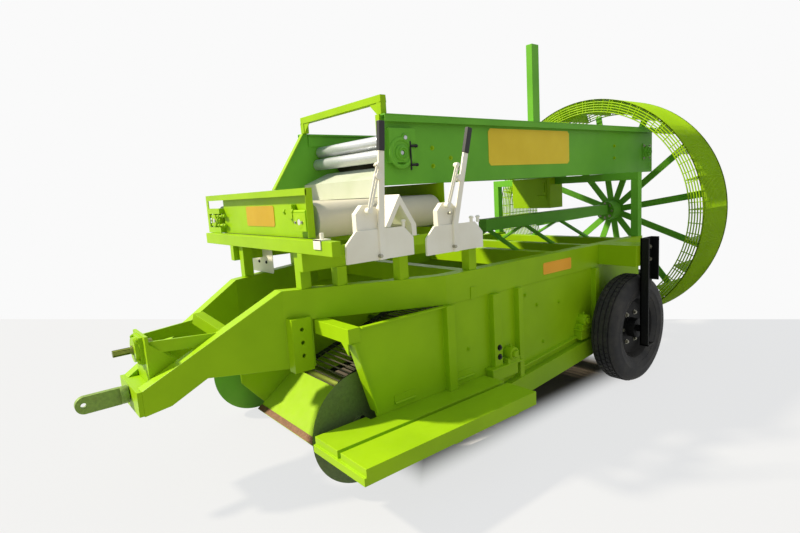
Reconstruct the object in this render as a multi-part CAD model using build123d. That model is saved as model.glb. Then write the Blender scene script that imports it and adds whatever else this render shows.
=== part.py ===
"""Trailed potato digger with rod web, ring elevator, picking conveyor and bagging unit.

Millimetres. Design axes: x runs from the hitch to the ring, y to the right side, z up.
x = 0 is the front of the cross conveyor, y = 0 the middle of the machine, z = 0 the ground.
All pieces are moved at the end so that the middle of the box's base is the origin.
"""
import math
import os

from build123d import *

os.makedirs("parts", exist_ok=True)

# clearances: at rest, of running pieces, and round a turning pin
FIT = 0.3
RUN = 6.0
PLAY = 0.6

# wheels
WHEEL_X = 2302.0
WHEEL_Y = 925.0
TYRE_R = 390.0
TYRE_W = 190.0
TYRE_SHOULDER = 0.94
RIM_R = 215.0
RIM_W = 130.0
RIM_WALL = 12.0
RIM_WELL = 30.0
HUB_R = 70.0
HUB_W = 140.0
AXLE_R = 24.0
AXLE_TUBE = 70.0
LEG_W = 210.0
LEG_D = 60.0
LEG_WALL = 12.0
LEG_DROP = 110.0
LEG_RISE = 50.0
LEG_BOLT_R = 9.0
LEG_BOLT_Z = (980.0, 890.0)

# disc coulters
DISC_X = 87.0
DISC_R = 295.0
DISC_RIM_Y = 672.0
DISC_T = 8.0
DISC_DISH = 22.0
DISC_HUB_R = 62.0
DISC_HUB_W = 44.0

# main beams and drawbar
BEAM_TOP = 1000.0
BEAM_H = 165.0
BEAM_W = 78.0
BEAM_Y = 745.0
BEAM_REAR = 2860.0
BEND_X = 650.0
KINK_X = -140.0
KINK_Y = 345.0
NOSE_X = -820.0
NOSE_Y = 183.0
NOSE_TOP = 611.0
NOSE_LOW = 485.0
CHEEK_LOW = 580.0
CHEEK_REAR = 130.0
JAW_BACK = 120.0
JAW_RISE = 28.0
CHEEK_RUN = 390.0
CHEEK_RISE = 35.0
TIE_W = 80.0
TIE_INSET = 20.0
TIE_FRONT_X = 940.0
TIE_MID_X = 1840.0

# hitch and power take-off
PLATE_T = 22.0
PLATE_LOW = 490.0
DECK_T = 10.0
TONGUE_TIP = -1077.0
TONGUE_Z = 563.0
TONGUE_H = 84.0
TONGUE_T = 30.0
SHANK_R = 26.0
COLLAR = 18.0
COLLAR_W = 34.0
PIN_R = 13.0
PIN_INSET = 36.0
PTO_Z = 775.0
PTO_R = 17.5
PTO_TIP = -890.0
SPLINES = 6
SPLINE_L = 76.0
SPLINE_W = 8.0
SPLINE_D = 4.0
STAND_X = -765.0
STAND_T = 16.0
STAND_TOP = 853.0
STAND_LOW = 521.0
HOUSING_R = 62.0
HOUSING_W = 34.0
GUSSET_L = 184.0
STAY_T = 12.0
STAY_H = 60.0
STAY_REAR = -420.0
SOCKET = 60.0
SOCKET_WALL = 6.0
SOCKET_FOOT = (-400.0, -215.0, 794.0)
SOCKET_MOUTH = (-470.0, 0.0, 875.0)
HANGER_X = -80.0
HANGER_W = 113.0
HANGER_T = 14.0
HANGER_PITCH = 70.0
HANGER_BOLT_R = 11.0
HANGER_LAP = 20.0
HANGER_DROP = 10.0
HANGER_BOLT_DROP = 110.0

# side walls of the digging bed
WALL_Y = 740.0
WALL_T = 5.0
WALL_FRONT = 10.0
SHIN_BACK = 110.0
SHIN_Z = 380.0
TOE_BACK = 40.0
TOE_Z = 240.0
FLANGE = 25.0
FLANGE_IN = 40.0
FLANGE_T = 8.0
POST_D = 40.0
HEADER_X0 = -8.0
HEADER_W = 70.0
HEADER_Z = 760.0
HEADER_IN = 425.0
HEADER_GUSSET = 60.0
RAIL_H = 125.0
RAIL_W = 50.0
RAIL_FRONT = 200.0
RAIL_REAR = WHEEL_X - 92.0
RAIL_Z0 = 40.0
RAIL_SLOPE = 0.095
LEDGE_W = 30.0
LEDGE_T = 10.0
LEDGE_GAP = 45.0
PANEL_REAR = 2800.0
PANEL_LOW = 440.0

# share and rod web
SHARE_TIP = (30.0, 32.0)
SHARE_HEEL = (335.0, 250.0)
SHARE_T = 14.0
SHARE_BEVEL = 60.0
SHARE_Y = 560.0
CHEEK_T = 12.0
CHEEK_NOSE = 150.0
CHEEK_NOSE_LOW = 50.0
CHEEK_NOSE_HIGH = 60.0
CHEEK_SKID = (70.0, 20.0)
CHEEK_HEEL = (60.0, 90.0)
CHEEK_BACK = (50.0, 170.0)
SPACER_Z = (70.0, 150.0)
WEB_Y = 540.0
WEB_PITCH = 64.0
WEB_ROD = 8.0
WEB_BELT_W = 55.0
WEB_BELT_T = 10.0
WEB_DRUM_R = 62.0
WEB_SHAFT_R = 20.0
WEB_FRONT = (420.0, 210.0)
WEB_KNEE = (1150.0, 440.0)
WEB_TAIL = (3340.0, 560.0)
WEB_IDLER_X = WHEEL_X - 342.0
TAIL_GAP = 26.0
TAIL_T = 10.0
TAIL_H = 120.0
TAIL_HANGER = 50.0
BEARING_R = 42.0
BEARING_W = 56.0
SHELF_W = 160.0
SHELF_T = 12.0
SHELF_BOX_H = 78.0
SHELF_BOX = (10.0, 45.0)
SHELF_LONG = 205.0
FOOT_HALF = 56.0

# platform
PLAT_X0 = -220.0
PLAT_X1 = 930.0
PLAT_Y0 = 700.0
PLAT_Y1 = 1122.0
PLAT_TOP = 350.0
PLAT_T = 75.0
PLAT_GROOVE = 25.0
PLAT_STEP = 12.0
PLAT_NOTCH_X = 90.0
ARM_W = 50.0
ARM_H = 40.0
ARM_FRONT = 600.0
ARM_REAR = 110.0

# bagging table and cross conveyor
RAIL_TOP = 1245.0
TUBE = 50.0
FRONT_RAIL_H = 70.0
FRONT_RAIL_X = -50.0
FRONT_RAIL_NEAR = -770.0
FRONT_RAIL_FAR = 900.0
SADDLE = 75.0
MID_RAIL_X = 450.0
REAR_RAIL_X = 880.0
RUNNER_Y = 450.0
RUNNER_H = 95.0
TABLE_POST = 60.0
INNER_POST_X = 150.0
CROSS_X1 = 900.0
CROSS_TOP = 1520.0
CROSS_NEAR = -500.0
CROSS_FAR = 700.0
TAKEUP_FAR = 930.0
TAKEUP_H = 36.0
CROSS_T = 6.0
CROSS_LIP = 40.0
DRUM_R = 88.0
DRUM_SHAFT_R = 16.0
DRUM_NEAR_Y = -410.0
DRUM_FAR_Y = 820.0
BELT_T = 6.0
BELT_SIDE = 30.0
BELT_OVER_RAIL = 10.0
FLANGE_R = 46.0
FLANGE_W = 24.0

# bag holders
BAG_Y = -775.0
BAG_T = 14.0
BAG_H = 150.0
BAG_CHAMFER = 60.0
PAD_W = 145.0
PAD_H = 120.0
PAD_ROUND = 40.0
PAD_T = 46.0
LEVER_W = 34.0
LEVER_T = 12.0
GRIP_L = 140.0
GRIP_T = 24.0
ROOF_APEX = (345.0, 1460.0)
ROOF_HALF = 100.0
ROOF_H = 158.0
ROOF_WALL = 26.0
ROOF_DEEP = 150.0

# picking conveyor
PICK_Y = 456.0
PICK_T = 6.0
PICK_X0 = 490.0
PICK_X1 = 3610.0
PICK_LOW = 1510.0
PICK_TOP = 1900.0
PICK_LIP = 40.0
PICK_LIP_T = 8.0
PICK_NOSE = 250.0
PICK_NOSE_RISE = 20.0
PICK_DRUM_R = 62.0
PICK_SHAFT_R = 18.0
PICK_BELT_Z = 1690.0
PICK_BELT_X0 = 810.0
PICK_BELT_END = 110.0
PICK_BELT_SIDE = 20.0
ROLLER_R = 37.5
ROLLER_PIN_R = 12.0
ROLLER_STUB = 40.0
ROLLER_BLOCK = 190.0
ROLLER_BLOCK_T = 30.0
BRIDGE_TUBE = 40.0
BRIDGE_Z = 1967.0
MAST_X = 1845.0
MAST_W = 76.0
MAST_D = 50.0
MAST_TOP = 2420.0
PORTAL_X = 2815.0
PORTAL_TUBE = 60.0
DROP_T = 80.0
DROP_BACK = 50.0
DROP_Y0 = 20.0
DROP_Y1 = 440.0
DROP_LOW = 1240.0

# ring elevator
RING_X0 = 3250.0
RING_X1 = 3750.0
RING_R = 1053.0
RING_Z = 1152.0
RING_DEPTH = 114.0
RING_BAR = 10.0
RING_EDGE = 30.0
RING_BANDS = 4
RING_SIDES = 48
PADDLES = 24
PADDLE_T = 6.0
SPOKES = 12
SPOKE_W = 60.0
SPOKE_T = 12.0
SPOKE_PHASE = 21.0
RING_HUB_R = 95.0
RING_HUB_X0 = 3590.0
SPINDLE_R = 32.0
BACKBONE_W = 80.0
BACKBONE_X0 = 1780.0
BACKBONE_X1 = 3570.0
BACKBONE_LOW = 1120.0
BACKBONE_H = 95.0
FRAME_FOOT_Y = 300.0
FRAME_BAR = 40.0

LEFT = -1
RIGHT = 1
SIDES = ((LEFT, "left"), (RIGHT, "right"))
PAST = 40.0
nodes = {}


def block(x0, x1, y0, y1, z0, z1):
    size = (abs(x1 - x0), abs(y1 - y0), abs(z1 - z0))
    return Pos((x0 + x1) / 2, (y0 + y1) / 2, (z0 + z1) / 2) * Box(*size)


def side_prism(points, y0, y1):
    low, high = min(y0, y1), max(y0, y1)
    face = Face(Wire.make_polygon([(x, low, z) for x, z in points]))
    return extrude(face, amount=high - low, dir=(0, 1, 0))


def plan_prism(points, z0, z1):
    face = Face(Wire.make_polygon([(x, y, z0) for x, y in points]))
    return extrude(face, amount=z1 - z0, dir=(0, 0, 1))


def end_prism(points, x0, x1):
    face = Face(Wire.make_polygon([(x0, y, z) for y, z in points]))
    return extrude(face, amount=x1 - x0, dir=(1, 0, 0))


def rod_x(x0, x1, y, z, r):
    return Pos((x0 + x1) / 2, y, z) * Rot(0, 90, 0) * Cylinder(r, abs(x1 - x0))


def rod_y(x, y0, y1, z, r):
    return Pos(x, (y0 + y1) / 2, z) * Rot(90, 0, 0) * Cylinder(r, abs(y1 - y0))


def bar(p, q, across, deep, up=(0, 0, 1)):
    """Straight bar from p to q, its depth along up."""
    a, b = Vector(*p), Vector(*q)
    run = b - a
    side = run.cross(Vector(*up)).normalized()
    at = Plane(origin=a, x_dir=side, z_dir=run.normalized())
    return at * Pos(0, 0, run.length / 2) * Box(across, deep, run.length)


def turned(points, x, y, z):
    """Ring about the y axis from (offset along y, radius) points."""
    face = Face(Wire.make_polygon([(r, a, 0) for a, r in points]))
    return Pos(x, y, z) * revolve(face, Axis.Y)


def band(points, r, thick, plane):
    """Belt outline round pulleys of radius r at the points, as a face on the plane."""
    def hull(radius):
        return make_hull([Pos(u, v) * CenterArc((0, 0), radius, 0, 360) for u, v in points])
    return plane * (hull(r + thick) - hull(r))


def loop(points, r, thick, y0, y1):
    belt = extrude(band(points, r, thick, Plane.XZ), amount=abs(y1 - y0))
    return Pos(0, max(y0, y1), 0) * belt


def group(shapes):
    """Separate solids kept together in one node."""
    return Compound([solid for shape in shapes for solid in shape.solids()])


def on_line(x, p, q):
    return p[1] + (x - p[0]) * (q[1] - p[1]) / (q[0] - p[0])


# main beams with their drawbar cheeks: side outline and plan line
beam_low = BEAM_TOP - BEAM_H
cheek_end = KINK_X + CHEEK_REAR
beam_side = [
    (NOSE_X, NOSE_TOP),
    (KINK_X, BEAM_TOP),
    (BEAM_REAR, BEAM_TOP),
    (BEAM_REAR, beam_low),
    (cheek_end, beam_low),
    (cheek_end, CHEEK_LOW),
    (KINK_X, CHEEK_LOW),
    (KINK_X - CHEEK_RUN, CHEEK_LOW + CHEEK_RISE),
    (NOSE_X + JAW_BACK, NOSE_LOW + JAW_RISE),
    (NOSE_X, NOSE_LOW),
]
beam_plan = [(NOSE_X, NOSE_Y), (KINK_X, KINK_Y), (BEND_X, BEAM_Y), (BEAM_REAR, BEAM_Y)]


def beam_outer(x):
    for p, q in zip(beam_plan, beam_plan[1:]):
        if x <= q[0]:
            return on_line(x, p, q)
    return BEAM_Y


def beam_inner(x):
    return beam_outer(x) - BEAM_W


for side, word in SIDES:
    outer = [(x, side * y) for x, y in beam_plan]
    inner = [(x, side * (y - BEAM_W)) for x, y in reversed(beam_plan)]
    strip = plan_prism(outer + inner, 0, BEAM_TOP + PAST)
    nodes["main_beam_" + word] = strip & side_prism(beam_side, -BEAM_Y - PAST, BEAM_Y + PAST)

# hitch head: front plate and the flat deck behind it
plate_x = NOSE_X - PLATE_T
stand_half = beam_inner(STAND_X) - FIT
plate = block(plate_x, NOSE_X, -NOSE_Y, NOSE_Y, PLATE_LOW, NOSE_TOP)
deck_half = beam_inner(NOSE_X) - FIT
plate += block(NOSE_X - 1, STAND_X - FIT, -deck_half, deck_half, NOSE_TOP - DECK_T, NOSE_TOP)
plate -= rod_x(plate_x - PAST, NOSE_X + PAST, 0, TONGUE_Z, SHANK_R + PLAY)
nodes["hitch_plate"] = plate

# power take-off stand: plate, gussets, bearing housing and stays to the beams
stand_back = STAND_X + STAND_T
stand = block(STAND_X, stand_back, -stand_half, stand_half, STAND_LOW, STAND_TOP)
for side, word in SIDES:
    gusset = [
        (stand_back, STAND_LOW),
        (stand_back, STAND_TOP - PAST),
        (stand_back + GUSSET_L, NOSE_TOP + PAST),
        (stand_back + GUSSET_L, NOSE_TOP - PAST),
    ]
    edge = side * stand_half
    stand += side_prism(gusset, edge, edge - side * STAY_T)
    stay_z = STAND_TOP - STAY_H
    stay_from = (stand_back - 1, side * (stand_half - 2 * STAY_T), stay_z)
    stay_to = (STAY_REAR, side * (beam_inner(STAY_REAR) + STAY_T), stay_z)
    stand += bar(stay_from, stay_to, STAY_T, STAY_H) - nodes["main_beam_" + word]
housing = rod_x(STAND_X - HOUSING_W, STAND_X, 0, PTO_Z, HOUSING_R)
lug = HOUSING_R + RUN
housing += block(STAND_X - STAND_T, STAND_X, -lug, lug, PTO_Z - lug, PTO_Z + lug)
journal_r = PTO_R + RUN
stand += housing
stand -= rod_x(STAND_X - 2 * PAST, STAND_X + 2 * PAST, 0, PTO_Z, journal_r + PLAY)
nodes["pto_stand"] = stand

# swivel tongue with its eye, shank and collars
low, high = TONGUE_Z - TONGUE_H / 2, TONGUE_Z + TONGUE_H / 2
eye_x = TONGUE_TIP + TONGUE_H / 2
collar_x = plate_x - RUN
tongue = block(eye_x, collar_x - COLLAR_W, -TONGUE_T / 2, TONGUE_T / 2, low, high)
tongue += rod_y(eye_x, -TONGUE_T / 2, TONGUE_T / 2, TONGUE_Z, TONGUE_H / 2)
tongue += rod_x(collar_x - COLLAR_W - 1, collar_x, 0, TONGUE_Z, SHANK_R + COLLAR)
tongue += rod_x(collar_x - 1, NOSE_X + RUN + COLLAR_W, 0, TONGUE_Z, SHANK_R)
tongue += rod_x(NOSE_X + RUN, NOSE_X + RUN + COLLAR_W, 0, TONGUE_Z, SHANK_R + COLLAR - DECK_T)
tongue -= rod_y(TONGUE_TIP + PIN_INSET, -PAST, PAST, TONGUE_Z, PIN_R)
nodes["hitch_tongue"] = tongue

# splined stub shaft
housing_x = STAND_X - HOUSING_W - RUN
shaft = rod_x(PTO_TIP, housing_x, 0, PTO_Z, PTO_R)
for step in range(SPLINES):
    groove = block(PTO_TIP - 1, PTO_TIP + SPLINE_L, -SPLINE_W / 2, SPLINE_W / 2,
                   PTO_R - SPLINE_D, PTO_R + SPLINE_D)
    shaft -= Pos(0, 0, PTO_Z) * Rot(360 / SPLINES * step, 0, 0) * groove
shaft += rod_x(housing_x, stand_back + RUN + COLLAR_W, 0, PTO_Z, journal_r)
shaft += rod_x(stand_back + RUN, stand_back + RUN + COLLAR_W, 0, PTO_Z, journal_r + COLLAR)
nodes["pto_shaft"] = shaft

# cross tubes between the beams, by their middle x, and the open socket on the left cheek
tie_low, tie_high = beam_low + TIE_INSET, BEAM_TOP - TIE_INSET
tie_rear_x = BEAM_REAR - TIE_W / 2 - TIE_INSET
tubes = []
for x in (TIE_FRONT_X, TIE_MID_X, WHEEL_X, tie_rear_x):
    reach = beam_inner(x) - FIT
    tubes.append(block(x - TIE_W / 2, x + TIE_W / 2, -reach, reach, tie_low, tie_high))
bore = SOCKET - 2 * SOCKET_WALL
socket = bar(SOCKET_FOOT, SOCKET_MOUTH, SOCKET, SOCKET) - bar(SOCKET_FOOT, SOCKET_MOUTH, bore, bore)
tubes.append(socket - nodes["main_beam_left"])
nodes["cross_tubes"] = group(tubes)


# side walls: sheet, flanges, posts and the sloping lower rail
def rail_low(x):
    return RAIL_Z0 + (x - RAIL_FRONT) * RAIL_SLOPE


def rail_top(x):
    return rail_low(x) + RAIL_H


def on_rail(x0, x1, low, high):
    """Outline of a strip between two heights above the rail's top edge."""
    return [(x0, rail_top(x0) + low), (x1, rail_top(x1) + low), (x1, rail_top(x1) + high),
            (x0, rail_top(x0) + high)]


header_back = HEADER_X0 + HEADER_W
wall_top = beam_low - FIT
shin = (WALL_FRONT + SHIN_BACK, SHIN_Z)
toe = (RAIL_FRONT - TOE_BACK, TOE_Z)
wall_edge = [
    (WALL_FRONT, HEADER_Z - FIT),
    (header_back + FIT, HEADER_Z - FIT),
    (header_back + FIT, wall_top),
    (RAIL_REAR, wall_top),
    (RAIL_REAR, rail_top(RAIL_REAR)),
    (RAIL_FRONT, rail_top(RAIL_FRONT)),
    toe,
    shin,
]
# posts: (middle x, width)
wall_posts = [(645.0, 60.0), (1030.0, 70.0), (1250.0, 40.0), (RAIL_REAR - 80.0, 45.0)]
panel_x0 = wall_posts[-1][0] + wall_posts[-1][1] / 2 + FIT
headers, panels = [], []
for side, word in SIDES:
    wall_in, wall_out = side * (WALL_Y - WALL_T), side * WALL_Y
    flange_out = side * (WALL_Y + FLANGE)
    wall = side_prism(wall_edge, wall_in, wall_out)
    front = [(WALL_FRONT, HEADER_Z - FIT), (WALL_FRONT + FLANGE_T, HEADER_Z - FIT),
             (shin[0] + FLANGE_T, shin[1]), shin]
    wall += side_prism(front, side * (WALL_Y - FLANGE_IN), flange_out)
    wall += block(header_back + FIT, BEND_X, wall_in, flange_out, wall_top - FLANGE_T, wall_top)
    for post_x, post_w in wall_posts:
        x0, x1 = post_x - post_w / 2, post_x + post_w / 2
        face = [(x0, rail_top(x0) - 1), (x1, rail_top(x1) - 1), (x1, wall_top), (x0, wall_top)]
        wall += side_prism(face, wall_in, side * (WALL_Y + POST_D))
    wall += side_prism(on_rail(RAIL_FRONT, RAIL_REAR, -RAIL_H, 0), wall_in, side * (WALL_Y + RAIL_W))
    ledge_end = WEB_IDLER_X - SHELF_W / 2
    ledge = on_rail(wall_posts[2][0], ledge_end, LEDGE_GAP, LEDGE_GAP + LEDGE_T)
    wall += side_prism(ledge, wall_in, side * (WALL_Y + LEDGE_W))
    nodes["side_wall_" + word] = wall
    header_out = side * (WALL_Y + RUN)
    header = block(HEADER_X0, header_back, side * HEADER_IN, header_out, HEADER_Z, wall_top)
    corner = side * (WALL_Y - WALL_T - FIT)
    gusset = [(corner, HEADER_Z), (corner - side * HEADER_GUSSET, HEADER_Z), (corner, HEADER_Z - HEADER_GUSSET)]
    header += end_prism(gusset, HEADER_X0, HEADER_X0 + FLANGE_T)
    headers.append(header)
    panels.append(block(panel_x0, PANEL_REAR, side * (WALL_Y + FIT), side * BEAM_Y, PANEL_LOW, wall_top))
nodes["front_headers"] = group(headers)
nodes["rear_panels"] = group(panels)

# share with its bevelled edge
tip, heel = Vector(*SHARE_TIP), Vector(*SHARE_HEEL)
run = (heel - tip).normalized()
rise = Vector(-run.Y, run.X)
blade = [tip, heel, heel - rise * SHARE_T, tip + run * SHARE_BEVEL - rise * SHARE_T]
nodes["share"] = side_prism([(p.X, p.Y) for p in blade], -SHARE_Y, SHARE_Y)

# share cheeks, the spacers that join them to the walls and the disc stub axles
disc_hub_y = DISC_RIM_Y - DISC_DISH
cheek_rear = WEB_FRONT[0] + WEB_DRUM_R
spacer_x = DISC_X + DISC_R + RUN + PLAY
cheeks = []
for side, word in SIDES:
    cheek_out = side * (SHARE_Y + CHEEK_T)
    cheek = [
        (DISC_X - CHEEK_NOSE, DISC_R - CHEEK_NOSE_LOW),
        (tip.X + CHEEK_SKID[0], tip.Y + CHEEK_SKID[1]),
        (heel.X + CHEEK_HEEL[0], heel.Y - CHEEK_HEEL[1]),
        (cheek_rear, heel.Y + CHEEK_BACK[0]),
        (cheek_rear, heel.Y + CHEEK_BACK[1]),
        (DISC_X - CHEEK_NOSE, DISC_R + CHEEK_NOSE_HIGH),
    ]
    cheeks.append(side_prism(cheek, side * (SHARE_Y + FIT), cheek_out))
    cheeks.append(rod_y(DISC_X, cheek_out, side * (disc_hub_y + DISC_HUB_W / 2), DISC_R, AXLE_R))
    cheeks.append(block(spacer_x, cheek_rear, cheek_out, side * (WALL_Y - WALL_T - FIT),
                        heel.Y + SPACER_Z[0], heel.Y + SPACER_Z[1]))
nodes["share_cheeks"] = group(cheeks)

# hanger plates under the drawbar beams
hangers = []
hanger_x0, hanger_x1 = HANGER_X - HANGER_W / 2, HANGER_X + HANGER_W / 2
hanger_y = beam_outer(hanger_x1) + FIT
hanger_low, hanger_top = CHEEK_LOW - HANGER_DROP, beam_low + HANGER_LAP
for side, word in SIDES:
    y_in, y_out = side * hanger_y, side * (hanger_y + HANGER_T)
    hanger = block(hanger_x0, hanger_x1, y_in, y_out, hanger_low, hanger_top)
    hanger += block(hanger_x0, hanger_x0 + HANGER_T, side * (beam_outer(hanger_x0 + HANGER_T) + FIT), y_out,
                    hanger_low, hanger_top)
    for step in (-1, 0, 1):
        z = beam_low - HANGER_BOLT_DROP + step * HANGER_PITCH
        hanger -= rod_y(HANGER_X, y_in - PAST, y_in + PAST, z, HANGER_BOLT_R)
    hangers.append(hanger)
nodes["hanger_plates"] = group(hangers)

# rod web: three belts with the rods that join them
web_mid_r = WEB_DRUM_R + WEB_BELT_T / 2
web_turns = [WEB_FRONT, WEB_KNEE, WEB_TAIL]


def web_height(x):
    if x < WEB_KNEE[0]:
        return on_line(x, WEB_FRONT, WEB_KNEE)
    return on_line(x, WEB_KNEE, WEB_TAIL)


def web_rods():
    """Rod centres (x, z, slope angle) along the upper and lower runs of the web."""
    rods = []
    count = int((WEB_TAIL[0] - WEB_FRONT[0]) / WEB_PITCH)
    for step in range(1, count):
        x = WEB_FRONT[0] + step * WEB_PITCH
        low_slope = math.atan2(WEB_TAIL[1] - WEB_FRONT[1], WEB_TAIL[0] - WEB_FRONT[0])
        slope = math.atan2(web_height(x + 1) - web_height(x), 1)
        rods.append((x - web_mid_r * math.sin(slope), web_height(x) + web_mid_r * math.cos(slope), slope))
        low_z = on_line(x, WEB_FRONT, WEB_TAIL)
        rods.append((x + web_mid_r * math.sin(low_slope), low_z - web_mid_r * math.cos(low_slope), low_slope))
    return rods


belts = []
for y in (-WEB_Y, -WEB_BELT_W / 2, WEB_Y - WEB_BELT_W):
    belts.append(loop(web_turns, WEB_DRUM_R, WEB_BELT_T, y, y + WEB_BELT_W))
rods = []
for x, z, slope in web_rods():
    rod = Box(WEB_ROD, 2 * WEB_Y - WEB_BELT_W, WEB_ROD)
    rods.append(Pos(x, 0, z) * Rot(0, -math.degrees(slope), 0) * rod)
nodes["rod_web"] = belts[0].fuse(*belts[1:], *rods)

# drums and shafts that the web runs on: (turning point, reach of the shaft)
tail_y = WEB_Y + TAIL_GAP
wall_reach = WALL_Y - WALL_T
idler = (WEB_IDLER_X, web_height(WEB_IDLER_X))
web_path = [(WEB_FRONT, SHARE_Y), (WEB_KNEE, wall_reach), (idler, wall_reach), (WEB_TAIL, tail_y)]
shafts = []
for (x, z), reach in web_path:
    drum = rod_y(x, -WEB_Y, WEB_Y, z, WEB_DRUM_R - FIT)
    shafts.append(drum + rod_y(x, FIT - reach, reach - FIT, z, WEB_SHAFT_R))
nodes["web_shafts"] = group(shafts)

# tail plates that carry the web's rear shaft and the axle stubs, hung from the beams
tails = []
hanger_half = TAIL_HANGER / 2
stub_half = AXLE_TUBE / 2
for side, word in SIDES:
    ends = (WEB_IDLER_X + WEB_DRUM_R + PAST, WEB_TAIL[0] + hanger_half + WEB_SHAFT_R)
    edge = [(x, web_height(x) - TAIL_H / 2) for x in ends]
    edge += [(x, web_height(x) + TAIL_H / 2) for x in reversed(ends)]
    tail_out = side * (tail_y + TAIL_T)
    tail = side_prism(edge, side * tail_y, tail_out)
    tail += block(WHEEL_X - AXLE_TUBE, WHEEL_X + AXLE_TUBE, side * tail_y, tail_out,
                  TYRE_R - stub_half, web_height(WHEEL_X))
    tails.append(tail)
    hang_out = side * (BEAM_Y - 2 * RUN)
    for x in (WHEEL_X + AXLE_TUBE, tie_rear_x):
        z = web_height(x)
        arm = block(x - hanger_half, x + hanger_half, tail_out, hang_out, z, z + TAIL_HANGER)
        tails.append(arm)
        tails.append(block(x - hanger_half, x + hanger_half, hang_out - side * TAIL_HANGER, hang_out,
                           z + TAIL_HANGER, beam_low))
nodes["web_tails"] = group(tails)

# bearing blocks on boxed shelves on the side walls; the knee's shelf reaches round the post before it
blocks = []
for side, word in SIDES:
    for (x, z), reach in web_path[1:3]:
        shelf_top = z - BEARING_R - TAIL_T
        half = SHELF_W / 2
        long = SHELF_LONG if x == WEB_KNEE[0] else half
        out = side * (WALL_Y + BEARING_W)
        at = side * WALL_Y
        bearing = block(x - long, x + half, at, out + side * RUN, shelf_top - SHELF_T, shelf_top)
        bearing += block(x - long + SHELF_BOX[0], x + half - SHELF_BOX[1], at, out,
                         shelf_top - SHELF_BOX_H, shelf_top - SHELF_T)
        bearing += block(x - FOOT_HALF, x + FOOT_HALF, at, out, shelf_top, z - BEARING_R / 2)
        bearing += rod_y(x, at, out, z, BEARING_R)
        bearing += rod_y(x, out, out + side * WEB_SHAFT_R, z, WEB_SHAFT_R)
        for post_x, post_w in wall_posts:
            near = post_w / 2 + FIT
            if x - long < post_x < x:
                bearing -= block(post_x - near, post_x + near, at - side * PAST, side * (WALL_Y + POST_D + FIT),
                                 shelf_top - 2 * SHELF_BOX_H, BEAM_TOP)
        blocks.append(bearing)
nodes["bearing_blocks"] = group(blocks)

# standing platform on the left: two boards set back on one base, carried by two arms on the rail
middle = (PLAT_Y0 + PLAT_Y1) / 2
plat_low = PLAT_TOP - PLAT_T
deck = block(PLAT_X0, PLAT_X1, -PLAT_Y1, -PLAT_Y0, plat_low, PLAT_TOP)
deck -= block(PLAT_X0 - 1, PLAT_X1 + 1, -middle - PLAT_GROOVE / 2, -middle + PLAT_GROOVE / 2,
              PLAT_TOP - PLAT_T / 2, PLAT_TOP + 1)
deck -= block(PLAT_X0 - 1, PLAT_X0 + PLAT_STEP, -PLAT_Y1 - 1, 1 - PLAT_Y0, PLAT_TOP - PLAT_T / 2, PLAT_TOP + 1)
deck -= block(PLAT_NOTCH_X, PLAT_X1 + 1, -WALL_Y - FIT, 1 - PLAT_Y0, 0, PLAT_TOP + 1)
for post_x, post_w in wall_posts:
    half = post_w / 2 + FIT
    deck -= block(post_x - half, post_x + half, -WALL_Y - POST_D - FIT, -WALL_Y, 0, PLAT_TOP + 1)
arm_in = -WALL_Y - RAIL_W - FIT
for arm_x in (PLAT_X0 + ARM_FRONT, PLAT_X1 - ARM_REAR):
    x0, x1 = arm_x - ARM_W / 2, arm_x + ARM_W / 2
    deck += block(x0, x1, arm_in, -PLAT_Y1 + ARM_W, plat_low - ARM_H, plat_low)
    deck += block(x0, x1, arm_in, arm_in - HANGER_T, rail_low(arm_x) + TAIL_T, plat_low)
nodes["platform"] = deck

# axle stubs inside the wheels, outriggers over them, legs and axle pins
stub_end = WHEEL_Y - HUB_W / 2 - 2 * RUN
stubs = []
for side, word in SIDES:
    stubs.append(block(WHEEL_X - stub_half, WHEEL_X + stub_half, side * (tail_y + TAIL_T), side * stub_end,
                       TYRE_R - stub_half, TYRE_R + stub_half))
nodes["axle_stubs"] = group(stubs)
leg_in = WHEEL_Y + TYRE_W / 2 + 2 * RUN
leg_out = leg_in + LEG_D
leg_x0, leg_x1 = WHEEL_X - LEG_W / 2, WHEEL_X + LEG_W / 2
leg_low, leg_top = TYRE_R - LEG_DROP, BEAM_TOP + LEG_RISE
arms = []
for side, word in SIDES:
    arms.append(block(leg_x0, leg_x1, side * (BEAM_Y + FIT), side * (leg_in - FIT),
                      beam_low + TIE_INSET, BEAM_TOP))
    leg = block(leg_x0, leg_x1, side * leg_in, side * leg_out, leg_low, leg_top)
    leg -= block(leg_x0 + LEG_WALL, leg_x1 - LEG_WALL, side * (leg_in + LEG_WALL), side * (leg_out + 1),
                 leg_low + LEG_WALL, leg_top + 1)
    leg += rod_y(WHEEL_X, side * (stub_end + FIT), side * (leg_in + LEG_D / 2), TYRE_R, AXLE_R)
    for z in LEG_BOLT_Z:
        for dx in (-LEG_W / 4, LEG_W / 4):
            leg -= rod_y(WHEEL_X + dx, side * (leg_in - PAST), side * (leg_in + PAST), z, LEG_BOLT_R)
    nodes["wheel_leg_" + word] = leg
nodes["outriggers"] = group(arms)

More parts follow.
